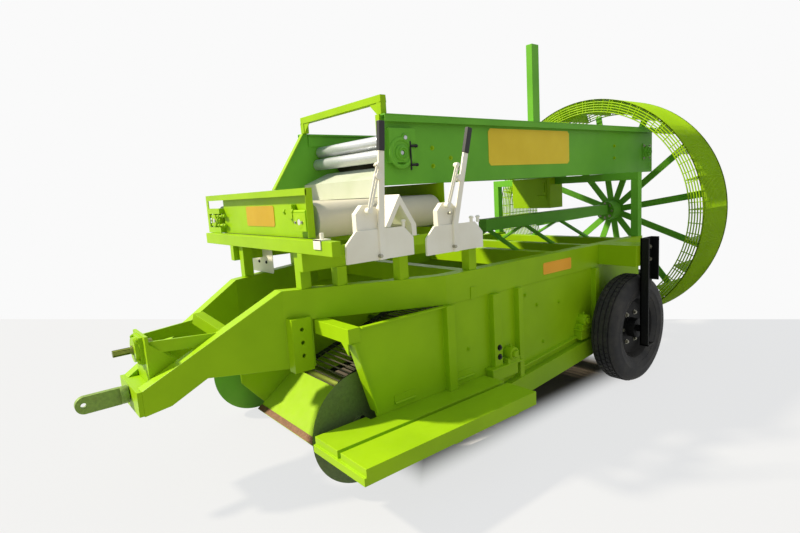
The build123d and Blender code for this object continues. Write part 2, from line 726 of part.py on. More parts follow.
# tyres, rims and hubs: (offset from the middle, radius)
half = TYRE_W / 2
shoulder = TYRE_R * TYRE_SHOULDER
tyre_line = [(-RIM_W / 2, RIM_R), (-half, shoulder), (0, TYRE_R), (half, shoulder), (RIM_W / 2, RIM_R)]
well = RIM_R - RIM_WELL
rim_line = [
    (-RIM_W / 2, RIM_R - FIT),
    (RIM_W / 2, RIM_R - FIT),
    (RIM_WALL, well),
    (RIM_WALL, HUB_R),
    (HUB_W / 2, HUB_R),
    (HUB_W / 2, AXLE_R + PLAY),
    (-HUB_W / 2, AXLE_R + PLAY),
    (-HUB_W / 2, HUB_R),
    (0, HUB_R),
    (0, well),
]
for side, word in SIDES:
    at = (WHEEL_X, side * WHEEL_Y, TYRE_R)
    nodes["tyre_" + word] = turned(tyre_line, *at)
    nodes["rim_" + word] = turned([(side * a, r) for a, r in rim_line], *at)

# disc coulters: dished towards the rim, on a hub
hub_half = DISC_HUB_W / 2
disc_line = [
    (-hub_half, AXLE_R + PLAY),
    (-hub_half, DISC_HUB_R),
    (0, DISC_HUB_R),
    (DISC_DISH, DISC_R),
    (DISC_T, DISC_HUB_R),
    (hub_half, DISC_HUB_R),
    (hub_half, AXLE_R + PLAY),
]
for side, word in SIDES:
    outline = [(side * a, r) for a, r in disc_line]
    nodes["disc_" + word] = turned(outline, DISC_X, side * disc_hub_y, DISC_R)

# bagging table: cross rails over two runners, with saddles that the bag plates are bolted to
rail_under = RAIL_TOP - TUBE
table_near = BAG_Y + BAG_T + FIT
half = TUBE / 2
front_rail = block(FRONT_RAIL_X - half, FRONT_RAIL_X + half, FRONT_RAIL_NEAR, FRONT_RAIL_FAR,
                   rail_under, rail_under + FRONT_RAIL_H)
saddle_in = table_near + BAG_T
front_rail += block(FRONT_RAIL_X, FRONT_RAIL_X + SADDLE + half, table_near, saddle_in, rail_under, RAIL_TOP)
table = [front_rail]
for x in (MID_RAIL_X, REAR_RAIL_X):
    rail = block(x - half, x + half, table_near, CROSS_FAR, rail_under, RAIL_TOP)
    table.append(rail + block(x - SADDLE, x + half, table_near, saddle_in, rail_under, RAIL_TOP))
    if x == MID_RAIL_X:
        table[-1] += block(x, x + SADDLE, table_near, saddle_in, rail_under, RAIL_TOP)
runner_low = rail_under - RUNNER_H
for side, word in SIDES:
    table.append(block(FRONT_RAIL_X - half, REAR_RAIL_X + half, side * RUNNER_Y - half, side * RUNNER_Y + half,
                       runner_low, rail_under))
nodes["bag_table"] = group(table)

# posts from the beams to the rails and runners: (x, top)
posts = []
half = TABLE_POST / 2
for x, top in ((FRONT_RAIL_X + half, rail_under), (INNER_POST_X, runner_low), (MID_RAIL_X, rail_under),
               (REAR_RAIL_X, rail_under)):
    y = beam_outer(x) - BEAM_W / 2
    for side, word in SIDES:
        posts.append(block(x - half, x + half, side * y - half, side * y + half, BEAM_TOP, top))
nodes["table_posts"] = group(posts)

# cross conveyor: walls with take-up arms, belt and drums
wall_foot = rail_under + FRONT_RAIL_H + FIT
lip_z = CROSS_TOP - CROSS_T
front_wall = block(-CROSS_T, 0, CROSS_NEAR, CROSS_FAR, wall_foot, CROSS_TOP)
front_wall += block(-CROSS_LIP, 0, CROSS_NEAR, TAKEUP_FAR, lip_z, CROSS_TOP)
front_wall += block(-CROSS_LIP, -CROSS_LIP + CROSS_T, CROSS_NEAR, TAKEUP_FAR, CROSS_TOP - TAKEUP_H, CROSS_TOP)
rear_top = PICK_LOW - FIT
rear_wall = block(CROSS_X1, CROSS_X1 + CROSS_T, CROSS_NEAR, CROSS_FAR, RAIL_TOP + FIT, rear_top)
drum_z = RAIL_TOP + BELT_OVER_RAIL + BELT_T + DRUM_R
drum_ends = [(y, drum_z) for y in (DRUM_NEAR_Y, DRUM_FAR_Y)]
belt_x0, belt_x1 = BELT_SIDE, CROSS_X1 - BELT_SIDE
belt = extrude(band(drum_ends, DRUM_R, BELT_T, Plane.YZ), amount=belt_x1 - belt_x0)
nodes["cross_belt"] = Pos(belt_x0, 0, 0) * belt
arm_z = (drum_z - FLANGE_R - TAKEUP_H, drum_z + FLANGE_R)
front_wall += block(-CROSS_LIP, -CROSS_LIP + CROSS_T, TAKEUP_FAR - TAKEUP_H, TAKEUP_FAR, arm_z[0], CROSS_TOP)
for z in arm_z:
    front_wall += block(-CROSS_LIP, 0, CROSS_FAR - 1, TAKEUP_FAR, z, z + TAKEUP_H)
    rear_wall += block(CROSS_X1, CROSS_X1 + CROSS_LIP, CROSS_FAR - TAKEUP_H, TAKEUP_FAR, z, z + TAKEUP_H)
for x0, x1 in ((-FLANGE_W, 0), (CROSS_X1, CROSS_X1 + FLANGE_W)):
    slider = block(x0, x1, DRUM_FAR_Y - FLANGE_R, DRUM_FAR_Y + FLANGE_R, drum_z - FLANGE_R, drum_z + FLANGE_R)
    if x1 > 0:
        rear_wall += slider
    else:
        front_wall += slider
drums = []
for y, z in drum_ends:
    front_wall += rod_x(-CROSS_T - FLANGE_W, 0, y, z, FLANGE_R - 1)
    rear_wall += rod_x(CROSS_X1, CROSS_X1 + CROSS_T + FLANGE_W, y, z, FLANGE_R - 1)
    drum = rod_x(belt_x0, belt_x1, y, z, DRUM_R - FIT)
    drums.append(drum + rod_x(-CROSS_LIP, CROSS_X1 + CROSS_LIP, y, z, DRUM_SHAFT_R))
    hole = rod_x(-2 * CROSS_LIP, CROSS_X1 + 2 * CROSS_LIP, y, z, DRUM_SHAFT_R + FIT)
    front_wall -= hole
    rear_wall -= hole
nodes["cross_wall_front"] = front_wall
nodes["cross_wall_rear"] = rear_wall
nodes["cross_drums"] = group(drums)

# bag holders: (plate edges x0 and x1, low z, pad x, strap knee, lever top), the last two as (x, z)
holders = [
    (0.0, 410.0, 1150.0, 145.0, (205.0, 1310.0), (240.0, 1812.0)),
    (500.0, 930.0, 1130.0, 668.0, (707.0, 1280.0), (843.0, 1795.0)),
]
lever_y = BAG_Y - LEVER_T / 2 - FIT
plates, levers, grips = [], [], []
for x0, x1, z0, pad_x, knee, top in holders:
    z1 = z0 + BAG_H
    cut = BAG_CHAMFER
    face = [(x0, z0), (x1, z0), (x1, z1 - cut), (x1 - cut, z1), (x0 + cut, z1), (x0, z1 - cut)]
    plate = side_prism(face, BAG_Y, BAG_Y + BAG_T)
    pad_x0, pad_x1, pad_top = pad_x - PAD_W / 2, pad_x + PAD_W / 2, z1 + PAD_H
    pad_low = RAIL_TOP + RUN
    pad = side_prism([(pad_x0, pad_low), (pad_x1, pad_low), (pad_x1, pad_top - PAD_ROUND),
                      (pad_x1 - PAD_ROUND, pad_top), (pad_x0 + PAD_ROUND, pad_top),
                      (pad_x0, pad_top - PAD_ROUND)], BAG_Y + BAG_T - 1, BAG_Y + PAD_T)
    plates.append(plate + pad)
    size = math.hypot(top[0] - knee[0], top[1] - knee[1])
    share = 1 - GRIP_L / size
    neck = (knee[0] + (top[0] - knee[0]) * share, knee[1] + (top[1] - knee[1]) * share)
    strap = block(knee[0] - LEVER_W / 2, knee[0] + LEVER_W / 2, lever_y - LEVER_T / 2, lever_y + LEVER_T / 2,
                  z0, knee[1] + LEVER_T)
    strap += bar((knee[0], lever_y, knee[1]), (neck[0], lever_y, neck[1]), LEVER_W, LEVER_T, (0, 1, 0))
    levers.append(strap)
    grips.append(bar((neck[0], lever_y, neck[1]), (top[0], lever_y, top[1]), LEVER_W, GRIP_T, (0, 1, 0)))
nodes["bag_holders"] = group(plates)
nodes["bag_levers"] = group(levers)
nodes["lever_grips"] = group(grips)

# roof-shaped divider between the two outlets, on a foot on the middle rail
roof_x, roof_top = ROOF_APEX
roof_low = roof_top - ROOF_H
wall_x = ROOF_WALL * math.hypot(ROOF_HALF, ROOF_H) / ROOF_H
wall_z = wall_x * ROOF_H / ROOF_HALF
roof = [
    (roof_x - ROOF_HALF, roof_low),
    (roof_x, roof_top),
    (roof_x + ROOF_HALF, roof_low),
    (roof_x + ROOF_HALF - wall_x, roof_low),
    (roof_x, roof_top - wall_z),
    (roof_x - ROOF_HALF + wall_x, roof_low),
]
roof_y = BAG_Y + BAG_T + FIT
divider = side_prism(roof, roof_y, roof_y + ROOF_DEEP)
foot_x = roof_x + ROOF_HALF - wall_x
divider += block(foot_x, foot_x + wall_x, roof_y, roof_y + TUBE, RAIL_TOP, roof_low + 1)
nodes["outlet_divider"] = divider

# picking conveyor walls with their top lip and the housings of the cleaning rollers
rollers = [("roller_upper", 630.0, 1772.0), ("roller_lower", 600.0, 1688.0)]
block_x = sum(x for name, x, z in rollers) / 2
block_z = sum(z for name, x, z in rollers) / 2
half = ROLLER_BLOCK / 2
inside = PICK_Y - PICK_T
for side, word in SIDES:
    line = [(PICK_X0, PICK_LOW), (PICK_X1, PICK_LOW), (PICK_X1, PICK_TOP), (PICK_X0, PICK_TOP)]
    if side == RIGHT:
        line = [(PICK_X0 - PICK_NOSE, PICK_LOW + PICK_NOSE_RISE)] + line[1:]
    wall = side_prism(line, side * inside, side * PICK_Y)
    wall += block(PICK_X0, PICK_X1, side * inside, side * (PICK_Y + PICK_LIP), PICK_TOP - PICK_LIP_T, PICK_TOP)
    wall += block(block_x - half, block_x + half, side * PICK_Y, side * (PICK_Y + ROLLER_BLOCK_T),
                  block_z - half, block_z + half)
    for name, x, z in rollers:
        wall -= rod_y(x, side * (inside - PAST), side * (PICK_Y + 2 * PAST), z, ROLLER_PIN_R + PLAY)
    nodes["pick_wall_" + word] = wall

# cleaning rollers ahead of the belt
for name, x, z in rollers:
    roller = rod_y(x, -inside + RUN, inside - RUN, z, ROLLER_R)
    nodes[name] = roller + rod_y(x, -PICK_Y - ROLLER_STUB, PICK_Y + ROLLER_STUB, z, ROLLER_PIN_R)

# picking belt and drums
belt_half = inside - PICK_BELT_SIDE
pick_ends = [(PICK_BELT_X0, PICK_BELT_Z), (PICK_X1 - PICK_BELT_END, PICK_BELT_Z)]
nodes["pick_belt"] = loop(pick_ends, PICK_DRUM_R, BELT_T, -belt_half, belt_half)
drums = []
for x, z in pick_ends:
    drum = rod_y(x, -belt_half, belt_half, z, PICK_DRUM_R - FIT)
    drums.append(drum + rod_y(x, FIT - inside, inside - FIT, z, PICK_SHAFT_R))
nodes["pick_drums"] = group(drums)

# frame over the conveyor's front and the mast on the left wall
bridge_x0 = PICK_X0 + RUN
bridge_x1 = bridge_x0 + BRIDGE_TUBE
bridge = [block(bridge_x0, bridge_x1, -PICK_Y, PICK_Y, BRIDGE_Z, BRIDGE_Z + BRIDGE_TUBE)]
for side, word in SIDES:
    bridge.append(block(bridge_x0, bridge_x1, side * PICK_Y, side * (PICK_Y - BRIDGE_TUBE), PICK_TOP, BRIDGE_Z))
nodes["top_frame"] = group(bridge)
mast_y = PICK_Y + PICK_LIP - RUN
nodes["mast_post"] = block(MAST_X - MAST_W / 2, MAST_X + MAST_W / 2, -mast_y, MAST_D - mast_y, PICK_TOP, MAST_TOP)

# portal under the conveyor's rear, with the panel that hangs from it
half = PORTAL_TUBE / 2
head_low = PICK_LOW - PORTAL_TUBE
nodes["conveyor_head"] = block(PORTAL_X - half, PORTAL_X + half, -BEAM_Y, BEAM_Y, head_low, PICK_LOW)
legs = []
for side, word in SIDES:
    legs.append(block(PORTAL_X - half, PORTAL_X + half, side * BEAM_Y, side * (BEAM_Y - PORTAL_TUBE),
                      BEAM_TOP, head_low))
nodes["conveyor_legs"] = group(legs)
drop_x = PORTAL_X - half
drop_edge = [
    (drop_x - DROP_T, DROP_LOW),
    (PORTAL_X + half + DROP_BACK, DROP_LOW),
    (PORTAL_X + half + DROP_BACK, head_low),
    (drop_x, head_low),
    (drop_x, PICK_LOW - FIT),
    (drop_x - DROP_T, PICK_LOW - FIT),
]
nodes["drop_panel"] = side_prism(drop_edge, DROP_Y0, DROP_Y1)

# backbone beam to the ring with its A-frames on the cross tubes, and the fixed spindle
half = BACKBONE_W / 2
backbone_top = BACKBONE_LOW + BACKBONE_H
nodes["ring_backbone"] = block(BACKBONE_X0, BACKBONE_X1, -half, half, BACKBONE_LOW, backbone_top)
frames = []
for x in (TIE_MID_X, WHEEL_X, tie_rear_x):
    foot = FRAME_BAR / 2
    for side, word in SIDES:
        leg = [(side * (FRAME_FOOT_Y - FRAME_BAR), tie_high), (side * FRAME_FOOT_Y, tie_high),
               (side * half, BACKBONE_LOW), (side * (half - FRAME_BAR + FIT), BACKBONE_LOW)]
        frames.append(end_prism(leg, x - foot, x + foot))
nodes["ring_carriers"] = group(frames)
nodes["ring_spindle"] = rod_x(BACKBONE_X1, RING_X1 - RUN, 0, RING_Z, SPINDLE_R)

# hub and spokes of the ring
hub_x1 = RING_X1 - RING_BAR
hub = rod_x(RING_HUB_X0, hub_x1, 0, RING_Z, RING_HUB_R)
hub -= rod_x(RING_HUB_X0 - PAST, hub_x1 + PAST, 0, RING_Z, SPINDLE_R + PLAY)
spoke_x = RING_X1 - RING_BAR - FIT
spoke = block(spoke_x - SPOKE_T, spoke_x, -SPOKE_W / 2, SPOKE_W / 2, RING_HUB_R - RUN,
              RING_R - RING_DEPTH + RING_BAR)
for step in range(SPOKES):
    hub += Pos(0, 0, RING_Z) * Rot(360 / SPOKES * step + SPOKE_PHASE, 0, 0) * spoke
nodes["ring_spokes"] = hub


# lattice of the ring: edge hoops, flange hoops, outer bands and paddles
def hoop(x, r0, r1):
    """Flat bar rolled into a hoop of many short straight sides, which keeps its mesh light."""
    sketch = RegularPolygon(r1, RING_SIDES) - RegularPolygon(r0, RING_SIDES)
    flat = Rot(SPOKE_PHASE, 0, 0) * Rot(0, 90, 0) * extrude(sketch, amount=RING_BAR)
    return Pos(x, 0, RING_Z) * flat


inner_r = RING_R - RING_DEPTH
middle_r = inner_r + (RING_DEPTH - RING_EDGE) / 2
hoops = []
for x in (RING_X0, RING_X1 - RING_BAR):
    hoops.append(hoop(x, RING_R - RING_EDGE, RING_R))
    hoops.append(hoop(x, middle_r, middle_r + RING_BAR))
    hoops.append(hoop(x, inner_r - RING_BAR, inner_r + RING_BAR))
step_x = (RING_X1 - RING_X0 - RING_BAR) / (RING_BANDS + 1)
for step in range(RING_BANDS):
    hoops.append(hoop(RING_X0 + step_x * (step + 1), RING_R - 2 * RING_BAR, RING_R - RING_BAR))
paddle = block(RING_X0, RING_X1, -PADDLE_T / 2, PADDLE_T / 2, inner_r, RING_R - RING_BAR)
paddles = []
for step in range(PADDLES):
    paddles.append(Pos(0, 0, RING_Z) * Rot(360 / PADDLES * (step + 0.5) + SPOKE_PHASE, 0, 0) * paddle)
nodes["ring_basket"] = hoops[0].fuse(*hoops[1:], *paddles)

# move to the origin and write
boxes = [shape.bounding_box() for shape in nodes.values()]
x_span = (min(b.min.X for b in boxes), max(b.max.X for b in boxes))
y_span = (min(b.min.Y for b in boxes), max(b.max.Y for b in boxes))
low_z = min(b.min.Z for b in boxes)
shift = Pos(-sum(x_span) / 2, -sum(y_span) / 2, -low_z)
print("shift", shift.position, "x", x_span, "y", y_span)
for name, shape in nodes.items():
    export_step(shift * shape, "parts/" + name + ".step")
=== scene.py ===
# %% [markdown]
# A trailed potato digger, dressed for its picture. The solids of the machine are
# loaded first and stay where they are. Every step below adds a finish or a group of
# small pieces to them, and says how the real machine has it.

# %% load the machine
import math

import bmesh
import bpy
from mathutils import Matrix, Vector


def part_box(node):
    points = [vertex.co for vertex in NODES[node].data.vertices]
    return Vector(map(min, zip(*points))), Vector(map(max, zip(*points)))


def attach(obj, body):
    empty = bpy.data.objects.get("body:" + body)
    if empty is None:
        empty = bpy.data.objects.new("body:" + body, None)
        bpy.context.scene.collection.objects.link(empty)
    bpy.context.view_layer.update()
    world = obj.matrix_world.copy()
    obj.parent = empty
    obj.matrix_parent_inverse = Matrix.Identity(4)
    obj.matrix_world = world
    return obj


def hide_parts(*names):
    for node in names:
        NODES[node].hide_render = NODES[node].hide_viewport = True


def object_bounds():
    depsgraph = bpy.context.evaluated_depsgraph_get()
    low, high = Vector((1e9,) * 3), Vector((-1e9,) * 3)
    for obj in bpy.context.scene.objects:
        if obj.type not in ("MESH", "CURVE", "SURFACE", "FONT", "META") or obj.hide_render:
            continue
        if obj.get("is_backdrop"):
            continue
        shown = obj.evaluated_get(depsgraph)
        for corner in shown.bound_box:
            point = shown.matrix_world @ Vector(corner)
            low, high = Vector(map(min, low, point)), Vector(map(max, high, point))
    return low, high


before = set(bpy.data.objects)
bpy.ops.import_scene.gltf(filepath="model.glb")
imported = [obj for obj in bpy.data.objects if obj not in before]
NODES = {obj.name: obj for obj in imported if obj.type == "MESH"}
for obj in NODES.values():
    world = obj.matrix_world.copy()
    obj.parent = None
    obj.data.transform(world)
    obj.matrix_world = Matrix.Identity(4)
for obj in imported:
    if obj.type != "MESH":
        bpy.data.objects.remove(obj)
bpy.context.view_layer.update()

# %% [markdown]
# All places are measured from the machine itself. Its own zero lies at the front wall
# of the cross conveyor, midway between the two main beams, on the ground.

# %% the machine's zero
ZERO = Vector((
    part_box("cross_wall_front")[1].x,
    (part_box("main_beam_left")[0].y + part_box("main_beam_right")[1].y) / 2,
    0.0,
))


def at(x, y, z):
    """A point given in the machine's own axes, in metres."""
    return ZERO + Vector((x, y, z))


print("zero:", [round(v, 4) for v in ZERO])

# %% [markdown]
# Camera. The photograph was taken at eye height from the left front, with a short lens
# and a little roll. Two directions and one place fix it, and the lens follows from
# the picture's width.

# %% camera
EYE = at(-1.316, -2.820, 1.480)
EYE_RIGHT = Vector((0.7758, -0.6281, -0.0601))
EYE_UP = Vector((0.1369, 0.0746, 0.9878))
SENSOR = 36.0
FOCAL_PIXELS = 524.04
PICTURE_WIDTH = 800.0

lens = bpy.data.cameras.new("camera")
lens.sensor_width = SENSOR
lens.lens = SENSOR * FOCAL_PIXELS / PICTURE_WIDTH
lens.clip_end = 200.0
camera = bpy.data.objects.new("camera", lens)
bpy.context.scene.collection.objects.link(camera)
turn = Matrix((EYE_RIGHT, EYE_UP, EYE_RIGHT.cross(EYE_UP))).transposed().to_4x4()
camera.matrix_world = Matrix.Translation(EYE) @ turn
bpy.context.scene.camera = camera
print("lens:", round(lens.lens, 2), "mm")

# %% [markdown]
# Two small helpers serve every finish. One turns a written colour into the linear
# values that the shader wants, the other adds a node with its settings and links.


# %% helpers for finishes
def colour(code):
    """Linear colour from an sRGB hex code."""
    parts = [int(code[i:i + 2], 16) / 255 for i in (1, 3, 5)]
    linear = [c / 12.92 if c <= 0.04045 else ((c + 0.055) / 1.055) ** 2.4 for c in parts]
    return (*linear, 1.0)


def add(tree, kind, inputs=None, **settings):
    """A node with its settings; inputs maps a socket to a value or to another node's output."""
    made = tree.nodes.new(kind)
    for key, value in settings.items():
        setattr(made, key, value)
    for key, value in (inputs or {}).items():
        if isinstance(value, bpy.types.NodeSocket):
            tree.links.new(value, made.inputs[key])
        else:
            made.inputs[key].default_value = value
    return made


def new_material(name):
    made = bpy.data.materials.new(name)
    made.use_nodes = True
    made.node_tree.nodes.clear()
    return made, made.node_tree


def close_material(tree, shader):
    add(tree, "ShaderNodeOutputMaterial", {"Surface": shader.outputs[0]})


# %% [markdown]
# Light. The sun stood to the front right and high, so the faces towards the drawbar and
# the tops are bright and the left side lies in open shade. One soft sun and an even sky
# give that. The sky lights the machine with one tint and shows itself paler.

# %% sun and sky
SUN_FROM = Vector((-0.54, 0.51, 0.675))
SUN_POWER = 5.5
SUN_SPREAD = math.radians(4)
SUN_CODE = "#FFF4E0"
SKY_LEVEL = 0.60
SKY_TINT = "#DFEDFF"
SKY_CODE = "#FAFAFA"

sun = bpy.data.lights.new("sun", "SUN")
sun.energy = SUN_POWER
sun.angle = SUN_SPREAD
sun.color = colour(SUN_CODE)[:3]
sun_lamp = bpy.data.objects.new("sun", sun)
sun_lamp.rotation_euler = SUN_FROM.to_track_quat("Z", "Y").to_euler()
bpy.context.scene.collection.objects.link(sun_lamp)

world = bpy.data.worlds.new("sky")
world.use_nodes = True
bpy.context.scene.world = world
sky = world.node_tree
sky.nodes.clear()
path = add(sky, "ShaderNodeLightPath")
seen = add(sky, "ShaderNodeMath", {0: path.outputs["Is Camera Ray"], 1: path.outputs["Is Glossy Ray"]},
           operation="MAXIMUM")
seen = add(sky, "ShaderNodeMath", {0: seen.outputs[0], 1: path.outputs["Is Transmission Ray"]},
           operation="MAXIMUM")
even = add(sky, "ShaderNodeBackground", {"Color": colour(SKY_TINT), "Strength": SKY_LEVEL})
pale = add(sky, "ShaderNodeBackground", {"Color": colour(SKY_CODE), "Strength": 1.0})
both = add(sky, "ShaderNodeMixShader", {0: seen.outputs[0], 1: even.outputs[0], 2: pale.outputs[0]})
add(sky, "ShaderNodeOutputWorld", {"Surface": both.outputs[0]})
print("sun from:", [round(v, 2) for v in SUN_FROM.normalized()])

# %% [markdown]
# Floor. It is pale, and past a straight line it is as light as the sky, as on a studio
# sweep. Under the machine it is painted a dark soil brown, which is painted shade. For the camera and in
# reflections it mostly glows by itself, so that its tone is even and the shadow is faint.

# %% floor
FLOOR_CODE = "#EEEEEE"
GROUND_CODE = "#DCDCDC"
BOUNCE_CODE = "#B4B1AA"
# painted shade: the dark brown that the floor takes under the machine
UNDER_SHADE_CODE = "#5E554A"
FLOOR_GLOW = 0.86
UNDER_MID = at(1.45, 0.14, 0)
UNDER_HALF = Vector((0.95, 0.80, 9.0))
UNDER_FADE = 0.3
FLOOR_HALF = 60.0
FLOOR_DROP = 0.002
SWEEP_NEAR = at(4.806, -1.346, 0)
SWEEP_FAR = at(-1.240, 6.544, 0)

floor_mesh = bpy.data.meshes.new("floor")
corners = [(x * FLOOR_HALF, y * FLOOR_HALF, -FLOOR_DROP) for x, y in ((-1, -1), (1, -1), (1, 1), (-1, 1))]
floor_mesh.from_pydata(corners, [], [(0, 1, 2, 3)])
floor = bpy.data.objects.new("floor", floor_mesh)
bpy.context.scene.collection.objects.link(floor)
floor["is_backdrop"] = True
floor_paint, tree = new_material("pale floor")
across = (SWEEP_FAR - SWEEP_NEAR).normalized()
away = Vector((across.y, -across.x, 0)) * (1 if across.y > 0 else -1)
coords = add(tree, "ShaderNodeTexCoord")
reach = add(tree, "ShaderNodeVectorMath", {0: coords.outputs["Object"], 1: away}, operation="DOT_PRODUCT")
beyond = add(tree, "ShaderNodeMath", {0: reach.outputs["Value"], 1: away.dot(SWEEP_NEAR)},
             operation="GREATER_THAN")
path = add(tree, "ShaderNodeLightPath")
shown = add(tree, "ShaderNodeMath", {0: path.outputs["Is Camera Ray"], 1: path.outputs["Is Glossy Ray"]},
            operation="MAXIMUM")
offset = add(tree, "ShaderNodeVectorMath", {0: coords.outputs["Object"], 1: UNDER_MID}, operation="SUBTRACT")
offset = add(tree, "ShaderNodeVectorMath", {0: offset.outputs[0]}, operation="ABSOLUTE")
offset = add(tree, "ShaderNodeVectorMath", {0: offset.outputs[0], 1: UNDER_HALF}, operation="SUBTRACT")
parts = add(tree, "ShaderNodeSeparateXYZ", {0: offset.outputs[0]})
clear = add(tree, "ShaderNodeMath", {0: parts.outputs["X"], 1: parts.outputs["Y"]}, operation="MAXIMUM")
clear = add(tree, "ShaderNodeMapRange", {0: clear.outputs[0], 1: 0.0, 2: UNDER_FADE},
            interpolation_type="SMOOTHSTEP")
# painted shade: under the machine the floor turns from pale to dark brown
ground = add(tree, "ShaderNodeMix", {0: clear.outputs[0], 6: colour(UNDER_SHADE_CODE), 7: colour(GROUND_CODE)},
             data_type="RGBA")
bounce = add(tree, "ShaderNodeMix", {0: shown.outputs[0], 6: colour(BOUNCE_CODE), 7: ground.outputs[2]},
             data_type="RGBA")
matt = add(tree, "ShaderNodeBsdfDiffuse", {"Color": bounce.outputs[2]})
tone = add(tree, "ShaderNodeMix", {0: beyond.outputs[0], 6: colour(FLOOR_CODE), 7: colour(SKY_CODE)},
           data_type="RGBA")
glow = add(tree, "ShaderNodeEmission", {"Color": tone.outputs[2], "Strength": 1.0})
near_glow = add(tree, "ShaderNodeMath", {0: clear.outputs[0], 1: FLOOR_GLOW}, operation="MULTIPLY")
share = add(tree, "ShaderNodeMix", {0: beyond.outputs[0], 2: near_glow.outputs[0], 3: 1.0})
share = add(tree, "ShaderNodeMath", {0: share.outputs[0], 1: shown.outputs[0]}, operation="MULTIPLY")
mixed = add(tree, "ShaderNodeMixShader", {0: share.outputs[0], 1: matt.outputs[0], 2: glow.outputs[0]})
close_material(tree, mixed)
floor_mesh.materials.append(floor_paint)
bpy.context.scene.view_settings.view_transform = "Standard"
print("floor half width:", FLOOR_HALF)

# %% [markdown]
# Enamel paint. The frame is sprayed with a lime machine enamel: a smooth glossy coat over
# plate and tube, a little uneven in tone where the coat is thicker, with fine orange peel
# and a breath of dust on the low parts. One function makes each shade of it.

# %% enamel
PEEL_MM = 6.0
PATCH_MM = 260.0
DUST_MM = 45.0
DUST_TOP = 0.45


def enamel(name, code, shade_code, rough=0.36, dust="#B9A77A", dust_share=0.18, gloss=0.12):
    """Sprayed enamel: two close tones in soft patches, fine peel and dust towards the ground."""
    made, tree = new_material(name)
    place = add(tree, "ShaderNodeTexCoord").outputs["Object"]
    patch = add(tree, "ShaderNodeTexNoise", {"Vector": place, "Scale": 1000 / PATCH_MM, "Detail": 5.0})
    spread = add(tree, "ShaderNodeMapRange", {0: patch.outputs["Fac"], 1: 0.35, 2: 0.68})
    tone = add(tree, "ShaderNodeMix", {0: spread.outputs[0], 6: colour(code), 7: colour(shade_code)},
               data_type="RGBA")
    height = add(tree, "ShaderNodeSeparateXYZ", {0: place})
    low = add(tree, "ShaderNodeMapRange", {0: height.outputs["Z"], 1: DUST_TOP, 2: 0.0, 3: 0.0, 4: dust_share})
    grain = add(tree, "ShaderNodeTexNoise", {"Vector": place, "Scale": 1000 / DUST_MM, "Detail": 6.0})
    dusty = add(tree, "ShaderNodeMath", {0: low.outputs[0], 1: grain.outputs["Fac"]}, operation="MULTIPLY")
    tone = add(tree, "ShaderNodeMix", {0: dusty.outputs[0], 6: tone.outputs[2], 7: colour(dust)},
               data_type="RGBA")
    matt = add(tree, "ShaderNodeMapRange", {0: grain.outputs["Fac"], 3: rough - 0.06, 4: rough + 0.14})
    peel = add(tree, "ShaderNodeTexNoise", {"Vector": place, "Scale": 1000 / PEEL_MM, "Detail": 2.0})
    bump = add(tree, "ShaderNodeBump", {"Height": peel.outputs["Fac"], "Strength": 0.05, "Distance": 0.001})
    skin = add(tree, "ShaderNodeBsdfPrincipled", {
        "Base Color": tone.outputs[2], "Roughness": matt.outputs[0], "Normal": bump.outputs[0],
        "IOR": 1.5, "Specular IOR Level": gloss})
    close_material(tree, skin)
    return made


LIME = enamel("lime enamel", "#9BC410", "#91BA0D")
# painted shade: a greener, darker copy of the lime enamel for the high and far parts, standing for the cool
# sky shade that falls on them
PAINTED_SHADE_LIME = enamel("lime enamel in painted sky shade", "#70B636", "#66AB31")
CREAM = enamel("cream enamel", "#FAF6E6", "#F0EAD6", rough=0.38, dust_share=0.05)
BLACK_PAINT = enamel("black chassis paint", "#0B0C0B", "#121312", rough=0.45, dust="#5E5646", dust_share=0.2,
                    gloss=0.15)
SHEET_WHITE = enamel("white sheet enamel", "#CBD0BC", "#BFC7AA", rough=0.4, dust_share=0.0)
print("enamels:", LIME.name, PAINTED_SHADE_LIME.name, CREAM.name, BLACK_PAINT.name)

# %% [markdown]
# Bare and worn metals. The tongue, the drive shaft, the web and the near disc have lost
# their paint: hot rolled steel with a brown-grey skin, rubbed brighter where soil runs
# over it. The finish mixes two tones in fine streaks and lets a little rust through.

# %% worn steels
STREAK_MM = 14.0
SPECK_MM = 40.0
RUST_CODE = "#6B3A1E"


def worn_steel(name, code, dull_code, rough=0.42, metal=0.85, rust=0.15):
    """Rolled steel with streaks, brighter rubbed places and specks of rust."""
    made, tree = new_material(name)
    place = add(tree, "ShaderNodeTexCoord").outputs["Object"]
    streak = add(tree, "ShaderNodeTexNoise", {"Vector": place, "Scale": 1000 / STREAK_MM, "Detail": 6.0,
                                              "Distortion": 0.6})
    tone = add(tree, "ShaderNodeMix", {0: streak.outputs["Fac"], 6: colour(code), 7: colour(dull_code)},
               data_type="RGBA")
    speck = add(tree, "ShaderNodeTexNoise", {"Vector": place, "Scale": 1000 / SPECK_MM, "Detail": 8.0})
    spots = add(tree, "ShaderNodeMapRange", {0: speck.outputs["Fac"], 1: 0.55, 2: 0.75, 3: 0.0, 4: rust})
    tone = add(tree, "ShaderNodeMix", {0: spots.outputs[0], 6: tone.outputs[2], 7: colour(RUST_CODE)},
               data_type="RGBA")
    shine = add(tree, "ShaderNodeMapRange", {0: streak.outputs["Fac"], 3: rough - 0.1, 4: rough + 0.16})
    bump = add(tree, "ShaderNodeBump", {"Height": streak.outputs["Fac"], "Strength": 0.12, "Distance": 0.001})
    skin = add(tree, "ShaderNodeBsdfPrincipled", {
        "Base Color": tone.outputs[2], "Roughness": shine.outputs[0], "Normal": bump.outputs[0],
        "Metallic": metal})
    close_material(tree, skin)
    return made


